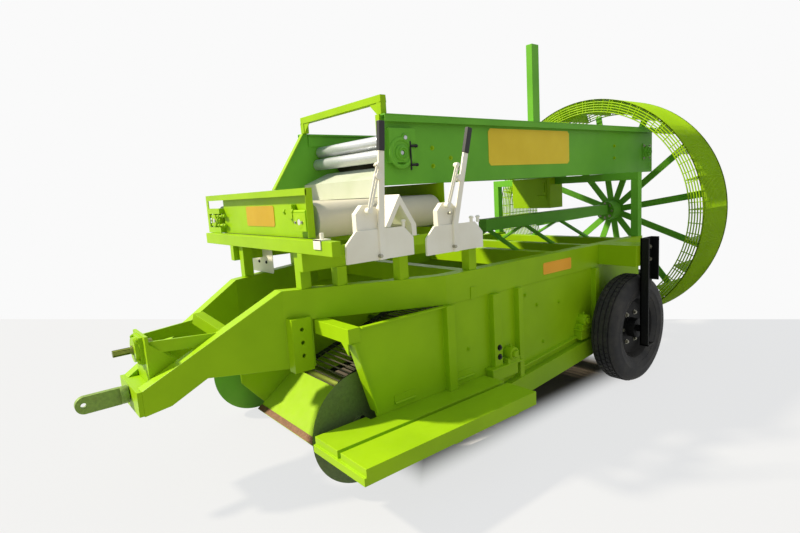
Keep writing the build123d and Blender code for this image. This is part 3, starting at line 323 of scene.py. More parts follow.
TONGUE_STEEL = worn_steel("steel with worn green paint", "#8FAE45", "#5C7530", rough=0.5, metal=0.25, rust=0.2)
SHAFT_STEEL = worn_steel("oiled shaft steel", "#8C9A3E", "#59632A", rough=0.35)
WEB_STEEL = worn_steel("soil-polished rod steel", "#8E867A", "#4E463C", rough=0.36, rust=0.35)
DISC_STEEL = worn_steel("disc blade steel", "#71854A", "#4A5934", rough=0.45, metal=0.35, rust=0.1)
SHARE_STEEL = worn_steel("share edge steel", "#7A5B3C", "#4A2E1C", rough=0.55, metal=0.5, rust=0.7)
ROLLER_STEEL = worn_steel("bright roller tube steel", "#DADDE0", "#B4B8BC", rough=0.3, metal=0.5, rust=0.0)
BOLT_BLACK = worn_steel("blackened bolt steel", "#2B2B2A", "#191918", rough=0.4, metal=0.6, rust=0.05)
BOLT_ZINC = worn_steel("zinc-plated bolt steel", "#B9B7A6", "#8F8D7C", rough=0.3, rust=0.05)
print("steels:", TONGUE_STEEL.name, DISC_STEEL.name)

# %% [markdown]
# Rubber and belting. The tyres are moulded black rubber, greyed by road dust. The cross
# belt is a cream food-grade belt with a fine cloth print, the picking belt the same cloth
# in black. The print is drawn coarser than the real thread so that it shows.

# %% rubber and belts
# The drawn weave repeats far coarser than real thread. A wave at scale 1 repeats
# every 2 pi / 20 of a metre, which WAVE_REPEAT holds.
CLOTH_MM = 56.55
WAVE_REPEAT = 2 * math.pi / 20
CLOUD_MM = 90.0
GRAIN_MM = 4.0
WEAR_MM = 180.0


def rubber(name, code, dust_code, dust_share, rough=0.75):
    """Moulded rubber, greyer where dust lies."""
    made, tree = new_material(name)
    place = add(tree, "ShaderNodeTexCoord").outputs["Object"]
    cloud = add(tree, "ShaderNodeTexNoise", {"Vector": place, "Scale": 1000 / CLOUD_MM, "Detail": 7.0})
    dusty = add(tree, "ShaderNodeMapRange", {0: cloud.outputs["Fac"], 1: 0.42, 2: 0.72, 3: 0.0, 4: dust_share})
    tone = add(tree, "ShaderNodeMix", {0: dusty.outputs[0], 6: colour(code), 7: colour(dust_code)},
               data_type="RGBA")
    grain = add(tree, "ShaderNodeTexNoise", {"Vector": place, "Scale": 1000 / GRAIN_MM, "Detail": 3.0})
    bump = add(tree, "ShaderNodeBump", {"Height": grain.outputs["Fac"], "Strength": 0.15, "Distance": 0.001})
    skin = add(tree, "ShaderNodeBsdfPrincipled", {
        "Base Color": tone.outputs[2], "Roughness": rough, "Normal": bump.outputs[0], "IOR": 1.5})
    close_material(tree, skin)
    return made


def belting(name, code, dull_code, rough=0.6):
    """Belt cloth: a fine weave in relief and faint cloudy wear."""
    made, tree = new_material(name)
    place = add(tree, "ShaderNodeTexCoord").outputs["Object"]
    wear = add(tree, "ShaderNodeTexNoise", {"Vector": place, "Scale": 1000 / WEAR_MM, "Detail": 6.0})
    tone = add(tree, "ShaderNodeMix", {0: wear.outputs["Fac"], 6: colour(code), 7: colour(dull_code)},
               data_type="RGBA")
    thread = {"Vector": place, "Scale": 1000 / CLOTH_MM * WAVE_REPEAT}
    warp = add(tree, "ShaderNodeTexWave", thread, bands_direction="X")
    weft = add(tree, "ShaderNodeTexWave", thread, bands_direction="Y")
    weave = add(tree, "ShaderNodeMath", {0: warp.outputs["Fac"], 1: weft.outputs["Fac"]}, operation="MULTIPLY")
    bump = add(tree, "ShaderNodeBump", {"Height": weave.outputs[0], "Strength": 0.2, "Distance": 0.001})
    skin = add(tree, "ShaderNodeBsdfPrincipled", {
        "Base Color": tone.outputs[2], "Roughness": rough, "Normal": bump.outputs[0], "IOR": 1.48,
        "Specular IOR Level": 0.12})
    close_material(tree, skin)
    return made


TYRE = rubber("tyre rubber", "#161616", "#4A463E", 0.5)
GRIP = rubber("grip rubber", "#111111", "#2B2B2B", 0.3, rough=0.55)
CREAM_BELT = belting("cream belt cloth", "#D6D0BC", "#C4BDA6")
BLACK_BELT = belting("black belt cloth", "#2A2E24", "#1C1F18")
ROLLER_WHITE = enamel("white roller enamel", "#CDCFCB", "#BBBEBA", rough=0.28, dust_share=0.0)
print("rubbers:", TYRE.name, GRIP.name, CREAM_BELT.name, BLACK_BELT.name)

# %% [markdown]
# Each solid now gets its finish. Sheet and tube edges on the real machine are never
# knife sharp, so a narrow bevel rounds every edge that turns by more than 35 degrees.
# The bevel is a modifier, so the solid's own mesh stays as it was loaded.

# %% finishes and rounded edges
EDGE_ROUND = 0.0022
EDGE_TURN = math.radians(35)
WELD_GAP = 0.00002
FLAT_TURN = math.radians(0.5)
FINISHES = [
    # painted shade: the high and far parts take the darker, greener copy of the lime enamel
    (PAINTED_SHADE_LIME, ["pick_wall_left", "pick_wall_right", "mast_post", "conveyor_head", "conveyor_legs", "disc_right",
             "ring_backbone", "ring_carriers", "ring_spokes"]),
    (CREAM, ["bag_holders", "bag_levers", "outlet_divider"]),
    (BLACK_PAINT, ["wheel_leg_left", "wheel_leg_right", "axle_stubs", "rim_left", "rim_right"]),
    (TONGUE_STEEL, ["hitch_tongue", "ring_spindle"]),
    (SHAFT_STEEL, ["pto_shaft", "web_shafts"]),
    (WEB_STEEL, ["rod_web"]),
    (DISC_STEEL, ["disc_left"]),
    (TYRE, ["tyre_left", "tyre_right"]),
    (GRIP, ["lever_grips"]),
    (CREAM_BELT, ["cross_belt"]),
    (BLACK_BELT, ["pick_belt"]),
    (ROLLER_STEEL, ["roller_upper", "roller_lower"]),
    (ROLLER_WHITE, ["cross_drums", "pick_drums"]),
]
finish_of = {node: finish for finish, nodes in FINISHES for node in nodes}
TURNED_NODES = ("tyre_left", "tyre_right", "disc_left", "disc_right", "rod_web", "ring_basket")
for node, solid in NODES.items():
    solid.data.materials.clear()
    solid.data.materials.append(finish_of.get(node, LIME))
    if node in TURNED_NODES:
        continue
    weld = solid.modifiers.new("weld", "WELD")
    weld.merge_threshold = WELD_GAP
    flat = solid.modifiers.new("flat", "DECIMATE")
    flat.decimate_type = "DISSOLVE"
    flat.angle_limit = FLAT_TURN
    soft = solid.modifiers.new("edge", "BEVEL")
    soft.width = EDGE_ROUND
    soft.segments = 2
    soft.limit_method = "ANGLE"
    soft.angle_limit = EDGE_TURN
print("finished solids:", len(NODES))

# %% [markdown]
# Repeated pieces come from node trees. A tree is built once with named inputs for its
# sizes. The helper below runs it on a mesh of points, turns the result into a plain
# mesh, and says which body the piece moves with.


# %% running a node tree
def new_tree(name, sizes):
    """A geometry tree with its mesh socket and one named number for each size."""
    tree = bpy.data.node_groups.new(name, "GeometryNodeTree")
    tree.interface.new_socket("Mesh", in_out="INPUT", socket_type="NodeSocketGeometry")
    for size, value in sizes.items():
        kind = "NodeSocketInt" if isinstance(value, int) else "NodeSocketFloat"
        socket = tree.interface.new_socket(size, in_out="INPUT", socket_type=kind)
        socket.default_value = value
    tree.interface.new_socket("Finish", in_out="INPUT", socket_type="NodeSocketMaterial")
    tree.interface.new_socket("Mesh", in_out="OUTPUT", socket_type="NodeSocketGeometry")
    given = add(tree, "NodeGroupInput").outputs
    return tree, given


def close_tree(tree, given, shape):
    """Every tree ends by making its copies real and giving them their finish."""
    real = add(tree, "GeometryNodeRealizeInstances", {0: shape})
    done = add(tree, "GeometryNodeSetMaterial", {"Geometry": real.outputs[0], "Material": given["Finish"]})
    add(tree, "NodeGroupOutput", {0: done.outputs[0]})


def piece_of(name, mesh, body):
    piece = bpy.data.objects.new(name, mesh)
    bpy.context.scene.collection.objects.link(piece)
    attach(piece, body)
    return piece


def grow(name, tree, points, finish, body, slot, axes=None, **sizes):
    """Run the tree on the points and keep the result as one plain piece."""
    seed = bpy.data.meshes.new(name + "_points")
    seed.from_pydata([tuple(p) for p in points], [], [])
    if axes:
        seed.attributes.new("axis", "FLOAT_VECTOR", "POINT")
        for value, axis in zip(seed.attributes["axis"].data, axes):
            value.vector = axis
    maker = bpy.data.objects.new(name + "_maker", seed)
    bpy.context.scene.collection.objects.link(maker)
    run = maker.modifiers.new("tree", "NODES")
    run.node_group = tree
    for socket in tree.interface.items_tree:
        if socket.in_out == "INPUT" and socket.name in sizes:
            run[socket.identifier] = sizes[socket.name]
        if socket.in_out == "INPUT" and socket.name == "Finish":
            run[socket.identifier] = finish
    seen = maker.evaluated_get(bpy.context.evaluated_depsgraph_get())
    mesh = bpy.data.meshes.new_from_object(seen)
    mesh.name = name
    bpy.data.objects.remove(maker)
    piece = piece_of(name, mesh, body)
    print(name, "faces:", len(mesh.polygons))
    return piece


# %% [markdown]
# The ring elevator is a basket bent from round rod. Twenty hoops make its rim, six more
# lie beside each other on each flange, short bars tie them every five degrees, and flat
# paddles cross it every fifteen. All of it follows one rule, so one tree makes it:
# circles set out along a line, swept with a round profile, and bars set round the middle.

# %% the ring basket
ring_low, ring_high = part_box("ring_basket")
ring_mid = (ring_low + ring_high) / 2
RING_REACH = (ring_high.z - ring_low.z) / 2
RING_WIDE = ring_high.x - ring_low.x
RING_DEEP = 0.114
RING_ROD_R = 0.0055
RING_COUNTS = {"Hoops": 20, "Flange": 6, "Bars": 72, "Paddles": 24}
PADDLE_PHASE = math.radians(28.5)
PADDLE_THICK = 0.006
TIE_SHARE = 0.75
tree, given = new_tree("ring basket", {
    "Reach": 1.0, "Deep": 0.1, "Wide": 0.5, "Rod": 0.005, **RING_COUNTS, "Phase": 0.0})
side_on = (0.0, math.pi / 2, 0.0)
unit = add(tree, "GeometryNodeCurvePrimitiveCircle", {"Resolution": 120, "Radius": 1.0})
upright = add(tree, "GeometryNodeTransform", {"Geometry": unit.outputs[0], "Rotation": side_on})
rod = add(tree, "GeometryNodeCurvePrimitiveCircle", {"Resolution": 7, "Radius": given["Rod"]})
half_wide = add(tree, "ShaderNodeMath", {0: given["Wide"], 1: 0.5}, operation="MULTIPLY")
inset = add(tree, "ShaderNodeMath", {0: half_wide.outputs[0], 1: given["Rod"]}, operation="SUBTRACT")
outset = add(tree, "ShaderNodeMath", {0: inset.outputs[0], 1: -1.0}, operation="MULTIPLY")
rim_r = add(tree, "ShaderNodeMath", {0: given["Reach"], 1: given["Rod"]}, operation="SUBTRACT")
first = add(tree, "ShaderNodeCombineXYZ", {"X": outset.outputs[0]})
last = add(tree, "ShaderNodeCombineXYZ", {"X": inset.outputs[0]})
line = add(tree, "GeometryNodeMeshLine", {"Count": given["Hoops"], "Start Location": first.outputs[0],
                                          "Offset": last.outputs[0]}, mode="END_POINTS")
rim = add(tree, "GeometryNodeInstanceOnPoints", {"Points": line.outputs[0], "Instance": upright.outputs[0],
                                                 "Scale": rim_r.outputs[0]})
curves = [rim.outputs[0]]
inner_r = add(tree, "ShaderNodeMath", {0: given["Reach"], 1: given["Deep"]}, operation="SUBTRACT")
index = add(tree, "GeometryNodeInputIndex")
ends = add(tree, "ShaderNodeMath", {0: given["Flange"], 1: 1.0}, operation="SUBTRACT")
flange_r = add(tree, "ShaderNodeMapRange", {0: index.outputs[0], 2: ends.outputs[0], 3: inner_r.outputs[0],
                                            4: rim_r.outputs[0]})
for place in (first, last):
    row = add(tree, "GeometryNodeMeshLine", {"Count": given["Flange"], "Start Location": place.outputs[0],
                                             "Offset": (0.0, 0.0, 0.0)})
    flange = add(tree, "GeometryNodeInstanceOnPoints", {
        "Points": row.outputs[0], "Instance": upright.outputs[0], "Scale": flange_r.outputs[0]})
    curves.append(flange.outputs[0])
joined = add(tree, "GeometryNodeJoinGeometry")
for curve in curves:
    tree.links.new(curve, joined.inputs[0])
wires = add(tree, "GeometryNodeRealizeInstances", {0: joined.outputs[0]})
bent = add(tree, "GeometryNodeCurveToMesh", {"Curve": wires.outputs[0], "Profile Curve": rod.outputs[0]})
smooth = add(tree, "GeometryNodeSetShadeSmooth", {0: bent.outputs[0]})
print("ring reach:", round(RING_REACH, 3), "width:", round(RING_WIDE, 3))

# %% [markdown]
# The same tree goes on with the flat paddles and the short ties. Both are drawn once,
# standing upright, and copied to points on a circle, each turned to face outwards.

# %% paddles and ties of the ring
flat_r = add(tree, "ShaderNodeMath", {0: given["Deep"], 1: 0.5}, operation="MULTIPLY")
paddle_at = add(tree, "ShaderNodeMath", {0: rim_r.outputs[0], 1: flat_r.outputs[0]}, operation="SUBTRACT")
spots = add(tree, "GeometryNodeMeshCircle", {"Vertices": given["Paddles"], "Radius": paddle_at.outputs[0]})
spots = add(tree, "GeometryNodeTransform", {"Geometry": spots.outputs[0], "Rotation": side_on})
size = add(tree, "ShaderNodeCombineXYZ", {"X": given["Wide"], "Y": PADDLE_THICK, "Z": given["Deep"]})
plate = add(tree, "GeometryNodeMeshCube", {"Size": size.outputs[0]})
spot = add(tree, "GeometryNodeInputPosition")
facing = add(tree, "FunctionNodeAlignRotationToVector", {"Vector": spot.outputs[0]}, axis="Z", pivot_axis="X")
plates = add(tree, "GeometryNodeInstanceOnPoints", {"Points": spots.outputs[0], "Instance": plate.outputs[0],
                                                    "Rotation": facing.outputs[0]})
swing = add(tree, "ShaderNodeCombineXYZ", {"X": given["Phase"]})
plates = add(tree, "GeometryNodeTransform", {"Geometry": plates.outputs[0], "Rotation": swing.outputs[0]})
ticks = add(tree, "GeometryNodeMeshCircle", {"Vertices": given["Bars"], "Radius": paddle_at.outputs[0]})
ticks = add(tree, "GeometryNodeTransform", {"Geometry": ticks.outputs[0], "Rotation": side_on})
thin = add(tree, "ShaderNodeMath", {0: given["Rod"], 1: TIE_SHARE}, operation="MULTIPLY")
tie = add(tree, "GeometryNodeMeshCylinder", {"Vertices": 6, "Radius": thin.outputs[0], "Depth": given["Wide"]})
tie_at = add(tree, "ShaderNodeMath", {0: flat_r.outputs[0], 1: thin.outputs[0]}, operation="SUBTRACT")
tie_at = add(tree, "ShaderNodeCombineXYZ", {"Z": tie_at.outputs[0]})
ties = [add(tree, "GeometryNodeTransform", {"Geometry": tie.outputs[0], "Rotation": side_on,
                                            "Translation": tie_at.outputs[0]})]
stub = add(tree, "GeometryNodeMeshCylinder", {"Vertices": 6, "Radius": thin.outputs[0],
                                              "Depth": given["Deep"]})
for place in (first, last):
    side_stub = add(tree, "GeometryNodeTransform", {"Geometry": stub.outputs[0],
                                                    "Translation": place.outputs[0]})
    ties.append(side_stub)
frame_of = add(tree, "GeometryNodeJoinGeometry")
for piece in ties:
    tree.links.new(piece.outputs[0], frame_of.inputs[0])
bars = add(tree, "GeometryNodeInstanceOnPoints", {"Points": ticks.outputs[0], "Instance": frame_of.outputs[0],
                                                  "Rotation": facing.outputs[0]})
basket = add(tree, "GeometryNodeJoinGeometry", {0: smooth.outputs[0]})
tree.links.new(plates.outputs[0], basket.inputs[0])
tree.links.new(bars.outputs[0], basket.inputs[0])
seat = add(tree, "GeometryNodeInstanceOnPoints", {"Points": given["Mesh"], "Instance": basket.outputs[0]})
close_tree(tree, given, seat.outputs[0])
basket = grow("ring_basket_rods", tree, [ring_mid], LIME, "ring", "lime_paint", Reach=RING_REACH,
              Deep=RING_DEEP, Wide=RING_WIDE, Rod=RING_ROD_R, Phase=PADDLE_PHASE, **RING_COUNTS)
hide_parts("ring_basket")

# %% [markdown]
# The digging web is an endless mat of round rods, riveted to three belts. The belts turn
# round a low front drum, climb over a knee and end at the tail drum. The path is worked
# out from the drums' places, and a tree sets a rod every forty-six millimetres on it.

# %% the rod web
DRUMS = [at(0.420, 0, 0.210), at(1.150, 0, 0.440), at(3.340, 0, 0.560)]
DRUM_R = 0.062
WEB_HALF = 0.535
WEB_PITCH = 0.046
WEB_ROD_R = 0.0055
WEB_RISE = 0.005
BELT_W = 0.055
BELT_THICK = 0.010
BELT_EDGE = 0.540
ARC_STEP = math.radians(10)


def web_path(radius):
    """Closed path round the drums: front, knee, tail and back below."""
    path = []
    for here, drum in enumerate(DRUMS):
        into = drum - DRUMS[here - 1]
        out = DRUMS[(here + 1) % len(DRUMS)] - drum
        start = math.atan2(into.z, into.x) + math.pi / 2
        turn = (math.atan2(into.z, into.x) - math.atan2(out.z, out.x)) % (2 * math.pi)
        steps = max(1, round(turn / ARC_STEP))
        for step in range(steps + 1):
            angle = start - turn * step / steps
            path.append(drum + radius * Vector((math.cos(angle), 0, math.sin(angle))))
    return path


def along(path, pitch):
    """Points set out evenly on a closed path."""
    closed = path + path[:1]
    lengths = [(b - a).length for a, b in zip(closed, closed[1:])]
    count = round(sum(lengths) / pitch)
    spots, leg, walked = [], 0, 0.0
    for number in range(count):
        target = number * sum(lengths) / count
        while target > walked + lengths[leg]:
            walked += lengths[leg]
            leg += 1
        share = (target - walked) / lengths[leg]
        spots.append(closed[leg].lerp(closed[leg + 1], share))
    return spots


tree, given = new_tree("web rods", {"Rod": 0.005, "Long": 1.0})
stick = add(tree, "GeometryNodeMeshCylinder", {"Vertices": 8, "Radius": given["Rod"], "Depth": given["Long"]})
across_way = add(tree, "GeometryNodeTransform", {"Geometry": stick.outputs[0],
                                                 "Rotation": (math.pi / 2, 0.0, 0.0)})
rods = add(tree, "GeometryNodeInstanceOnPoints", {"Points": given["Mesh"], "Instance": across_way.outputs[0]})
close_tree(tree, given, rods.outputs[0])
rods = along(web_path(DRUM_R + WEB_RISE), WEB_PITCH)
web_rods = grow("web_rods", tree, rods, WEB_STEEL, "chassis", "web_steel", Rod=WEB_ROD_R, Long=2 * WEB_HALF)
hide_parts("rod_web")

belt_mesh = bpy.data.meshes.new("web_belts")
shell = bmesh.new()
outer, inner = web_path(DRUM_R + BELT_THICK), web_path(DRUM_R)
for low_y in (-BELT_EDGE, -BELT_W / 2, BELT_EDGE - BELT_W):
    rows = []
    for way, side in ((outer, 0), (outer, 1), (inner, 1), (inner, 0)):
        rows.append([shell.verts.new(p + Vector((0, low_y + side * BELT_W, 0))) for p in way])
    for first_row, second_row in zip(rows, rows[1:] + rows[:1]):
        for spot in range(len(outer)):
            near, far = spot - 1, spot
            shell.faces.new((first_row[near], first_row[far], second_row[far], second_row[near]))
bmesh.ops.recalc_face_normals(shell, faces=shell.faces)
shell.to_mesh(belt_mesh)
shell.free()
belt_mesh.materials.append(BLACK_BELT)
web_belts = piece_of("web_belts", belt_mesh, "chassis")
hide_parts("rod_web")
print("web rods:", len(rods))

# %% [markdown]
# Turned and welded small parts are drawn with four strokes: a box, a profile turned about
# an axis, a round bar and a flat bar between two points. Each group of strokes becomes one
# piece, shaded smooth with sharp edges kept, and where asked a small bevel softens them.


# %% strokes for small parts
def box_into(shell, low, high):
    """A box between two corners."""
    corners = [(x, y, z) for x in (low[0], high[0]) for y in (low[1], high[1]) for z in (low[2], high[2])]
    spots = [shell.verts.new(c) for c in corners]
    for face in ((0, 1, 3, 2), (4, 6, 7, 5), (0, 4, 5, 1), (2, 3, 7, 6), (0, 2, 6, 4), (1, 5, 7, 3)):
        shell.faces.new([spots[i] for i in face])


def lathe_into(shell, profile, foot, axis, steps=24, closed=False):
    """A profile of (height along the axis, radius) turned round; radius 0 closes it."""
    turn = Vector(axis).to_track_quat("Z", "Y")
    rows = []
    for rise, radius in profile:
        angles = range(steps if radius else 1)
        spots = [turn @ Vector((radius * math.cos(a * 2 * math.pi / steps),
                                radius * math.sin(a * 2 * math.pi / steps), rise)) for a in angles]
        rows.append([shell.verts.new(foot + spot) for spot in spots])
    for low_row, high_row in zip(rows, rows[1:] + rows[:1] if closed else rows[1:]):
        for a in range(steps):
            b = (a + 1) % steps
            loop = [low_row[a % len(low_row)], low_row[b % len(low_row)],
                    high_row[b % len(high_row)], high_row[a % len(high_row)]]
            shell.faces.new(list(dict.fromkeys(loop)))


def bar_into(shell, start, end, radius, steps=12):
    """A round bar with chamfered ends."""
    long = (end - start).length
    cut = radius * 0.15
    lathe_into(shell, [(0, 0), (0, radius - cut), (cut, radius), (long - cut, radius), (long, radius - cut),
                       (long, 0)], start, end - start, steps)


def flat_into(shell, start, end, wide, thick, lie):
    """A flat bar from start to end, its thickness along lie."""
    run = (end - start).normalized()
    lie = Vector(lie)
    side = run.cross(lie).normalized() * wide / 2
    up = lie.normalized() * thick / 2
    spots = [shell.verts.new(base + a * side + b * up) for base in (start, end)
             for a, b in ((-1, -1), (1, -1), (1, 1), (-1, 1))]
    for face in ((3, 2, 1, 0), (4, 5, 6, 7), (0, 1, 5, 4), (1, 2, 6, 5), (2, 3, 7, 6), (3, 0, 4, 7)):
        shell.faces.new([spots[i] for i in face])


SMOOTH_TURN = math.radians(32)


def piece_from(name, shell, finish, body, bevel=0.0):
    """The strokes drawn so far, as one piece."""
    bmesh.ops.recalc_face_normals(shell, faces=shell.faces)
    mesh = bpy.data.meshes.new(name)
    shell.to_mesh(mesh)
    shell.free()
    mesh.shade_smooth()
    mesh.set_sharp_from_angle(angle=SMOOTH_TURN)
    mesh.materials.append(finish)
    piece = piece_of(name, mesh, body)
    if bevel:
        soft = piece.modifiers.new("edge", "BEVEL")
        soft.width = bevel
        soft.segments = 2
        soft.limit_method = "ANGLE"
        soft.angle_limit = SMOOTH_TURN
    return piece


print("strokes ready")

# %% [markdown]
# The tyres are narrow implement tyres: a tall plain sidewall with two moulded ribs, round
# shoulders and a shallow road tread. The carcass is one turned profile. The tread blocks
# are set round it by a tree, in three staggered rows.

# %% tyres
TYRE_LINE = [
    (0.062, 0.2165), (0.072, 0.226), (0.083, 0.250), (0.0865, 0.252), (0.0895, 0.262), (0.0935, 0.290),
    (0.0955, 0.293), (0.0960, 0.300), (0.0945, 0.304), (0.0942, 0.330), (0.0905, 0.352), (0.081, 0.370),
    (0.066, 0.3805), (0.056, 0.3830), (0.054, 0.3760), (0.048, 0.3760), (0.046, 0.3845), (0.024, 0.3860),
    (0.022, 0.3785), (0.016, 0.3785), (0.014, 0.3865),
]
TREAD_ROWS = ((-0.035, 0.0), (0.0, 0.5), (0.035, 0.0))
TREAD_COUNT = 60
TREAD_R = 0.3865
TREAD_SIZE = {"Wide": 0.026, "Long": 0.024, "Tall": 0.006}
TYRE_STEPS = 96

tree, given = new_tree("tread blocks", {"Wide": 0.02, "Long": 0.028, "Tall": 0.005})
size = add(tree, "ShaderNodeCombineXYZ", {"X": given["Wide"], "Y": given["Long"], "Z": given["Tall"]})
lump = add(tree, "GeometryNodeMeshCube", {"Size": size.outputs[0]})
out_way = add(tree, "GeometryNodeInputNamedAttribute", {"Name": "axis"}, data_type="FLOAT_VECTOR")
facing = add(tree, "FunctionNodeAlignRotationToVector", {"Vector": out_way.outputs["Attribute"]}, axis="Z",
             pivot_axis="Y")
lumps = add(tree, "GeometryNodeInstanceOnPoints", {"Points": given["Mesh"], "Instance": lump.outputs[0],
                                                   "Rotation": facing.outputs[0]})
close_tree(tree, given, lumps.outputs[0])
TREAD_TREE = tree
for word in ("left", "right"):
    low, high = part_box("tyre_" + word)
    mid = (low + high) / 2
    shell = bmesh.new()
    line = TYRE_LINE + [(-a, r) for a, r in reversed(TYRE_LINE)]
    lathe_into(shell, line, mid, (0, 1, 0), steps=TYRE_STEPS, closed=True)
    tyre = piece_from("tyre_" + word + "_carcass", shell, TYRE, "wheel_" + word)
    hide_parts("tyre_" + word)
    spots, axes = [], []
    for offset, stagger in TREAD_ROWS:
        for number in range(TREAD_COUNT):
            angle = (number + stagger) * 2 * math.pi / TREAD_COUNT
            spoke = Vector((math.cos(angle), 0, math.sin(angle)))
            spots.append(mid + TREAD_R * spoke + Vector((0, offset, 0)))
            axes.append(spoke)
    tread = grow("tyre_" + word + "_tread", TREAD_TREE, spots, TYRE, "wheel_" + word, "tyre_rubber", axes=axes,
                 **TREAD_SIZE)
    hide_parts("tyre_" + word)

# %% [markdown]
# Bolts hold the bearings, wheels and plates. One tree draws a hexagon head on a washer
# with the end of its thread showing, and stands it on each point along the direction that
# the point carries.

# %% the bolt
WASHER_SHARE = 1.35
WASHER_THICK = 0.003
THREAD_SHARE = 0.52
THREAD_LONG = 2.9
tree, given = new_tree("bolts", {"Head": 0.01, "Tall": 0.008})
washer_r = add(tree, "ShaderNodeMath", {0: given["Head"], 1: WASHER_SHARE}, operation="MULTIPLY")
washer = add(tree, "GeometryNodeMeshCylinder", {"Vertices": 14, "Radius": washer_r.outputs[0],
                                                "Depth": WASHER_THICK})
hexagon = add(tree, "GeometryNodeMeshCylinder", {"Vertices": 6, "Radius": given["Head"],
                                                 "Depth": given["Tall"]})
lift = add(tree, "ShaderNodeMath", {0: given["Tall"], 1: 0.5}, operation="MULTIPLY")
lift = add(tree, "ShaderNodeCombineXYZ", {"Z": lift.outputs[0]})
hexagon = add(tree, "GeometryNodeTransform", {"Geometry": hexagon.outputs[0], "Translation": lift.outputs[0]})
thread_r = add(tree, "ShaderNodeMath", {0: given["Head"], 1: THREAD_SHARE}, operation="MULTIPLY")
thread_l = add(tree, "ShaderNodeMath", {0: given["Tall"], 1: THREAD_LONG}, operation="MULTIPLY")
thread = add(tree, "GeometryNodeMeshCylinder", {"Vertices": 10, "Radius": thread_r.outputs[0],
                                                "Depth": thread_l.outputs[0]})
whole = add(tree, "GeometryNodeJoinGeometry", {0: washer.outputs[0]})
tree.links.new(hexagon.outputs[0], whole.inputs[0])
tree.links.new(thread.outputs[0], whole.inputs[0])
stands = add(tree, "GeometryNodeInputNamedAttribute", {"Name": "axis"}, data_type="FLOAT_VECTOR")
facing = add(tree, "FunctionNodeAlignRotationToVector", {"Vector": stands.outputs["Attribute"]}, axis="Z")
bolts = add(tree, "GeometryNodeInstanceOnPoints", {"Points": given["Mesh"], "Instance": whole.outputs[0],
                                                   "Rotation": facing.outputs[0]})
close_tree(tree, given, bolts.outputs[0])
BOLT_TREE = tree


def bolt_circle(middle, axis, radius, count, start=0.0):
    """Points and directions of a circle of bolts."""
    turn = Vector(axis).to_track_quat("Z", "Y")
    spots = []
    for number in range(count):
        angle = start + number * 2 * math.pi / count
        spots.append(middle + turn @ Vector((radius * math.cos(angle), radius * math.sin(angle), 0)))
    return spots, [Vector(axis)] * count


def bolt_group(name, rows, finish, body, slot, head, tall):
    """One piece from several (points, directions) rows."""
    spots = [spot for points, directions in rows for spot in points]
    axes = [axis for points, directions in rows for axis in directions]
    return grow(name, BOLT_TREE, spots, finish, body, slot, axes=axes, Head=head, Tall=tall)


print("bolt tree:", BOLT_TREE.name)

# %% [markdown]
# Bolts sit in circles on the wheels, the discs, the ring's hub and the drive housing, and
# in short rows on the walls, the bearing shelves and the wheel legs. Small tables list the
# rows, and both sides of the machine share them.

# %% bolts in place
PICK_FACE = 0.456
PLATE_FACE = 0.740
SHELF_Y = 0.768
LEG_FACE = 1.044
WALL_BOLTS = [(0.864, 1.718), (0.865, 1.612), (2.944, 1.739), (2.944, 1.640), (1.015, 1.658)]
PLATE_BOLTS = [(1.344, 0.770), (1.463, 0.684), (1.705, 0.661), (1.522, 0.424), (0.811, 0.541)]
SHELVES = [(1.150, 0.403), (1.960, 0.448)]
SHELF_STEP = 0.045
LEG_BOLTS = [(2.298, 0.980), (2.298, 0.890), (2.362, 0.980), (2.362, 0.890)]
for word, side in (("left", -1), ("right", 1)):
    outward = (0, side, 0)
    hub_low, hub_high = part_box("rim_" + word)
    hub = (hub_low + hub_high) / 2
    web_face = hub + Vector((0, side * 0.012, 0))
    bolt_group("rim_bolts_" + word, [bolt_circle(web_face, outward, 0.115, 6)], BOLT_ZINC, "wheel_" + word,
               "rim_black", 0.013, 0.012)
    hub_face = at(0.087, side * 0.672, 0.295)
    bolt_group("disc_bolts_" + word, [bolt_circle(hub_face, outward, 0.044, 4)], BOLT_BLACK, "disc_" + word,
               "disc_steel", 0.009, 0.008)
ring_hub = at(3.590, 0, 1.152)
bolt_group("ring_hub_bolts", [bolt_circle(ring_hub, (-1, 0, 0), 0.070, 8)], BOLT_ZINC, "ring", "lime_paint",
           0.010, 0.009)
frame_rows = [bolt_circle(at(-0.781, 0, 0.775), (-1, 0, 0), 0.078, 4, math.pi / 4)]
for side in (-1, 1):
    outward = Vector((0, side, 0))
    frame_rows.append(([at(x, side * PICK_FACE, z) for x, z in WALL_BOLTS], [outward] * len(WALL_BOLTS)))
    frame_rows.append(([at(x, side * PLATE_FACE, z) for x, z in PLATE_BOLTS], [outward] * len(PLATE_BOLTS)))
    for x, z in SHELVES:
        pair = [at(x + dx, side * SHELF_Y, z) for dx in (-SHELF_STEP, SHELF_STEP)]
        frame_rows.append((pair, [Vector((0, 0, 1))] * 2))
bolt_group("frame_bolts", frame_rows, LIME, "chassis", "lime_paint", 0.011, 0.009)
leg_rows = []
for side in (-1, 1):
    leg_spots = [at(x, side * LEG_FACE, z) for x, z in LEG_BOLTS]
    leg_rows.append((leg_spots, [Vector((0, side, 0))] * len(LEG_BOLTS)))
bolt_group("leg_bolts", leg_rows, BOLT_ZINC, "chassis", "leg_black", 0.013, 0.011)

# %% [markdown]
# Bag clamps. On each cream plate a pair of thin links runs from a pivot on the pad up to
# the lever, with a knuckle where the toggle folds. Loose knobs stand on the plate's top
# edge, and a strap with its nut holds the plate to the front rail.

# %% bag clamps
CLAMP_Y = -0.797
PAD_Y = -0.775
KNOB_Y = -0.768
LINK_STEP = 0.016
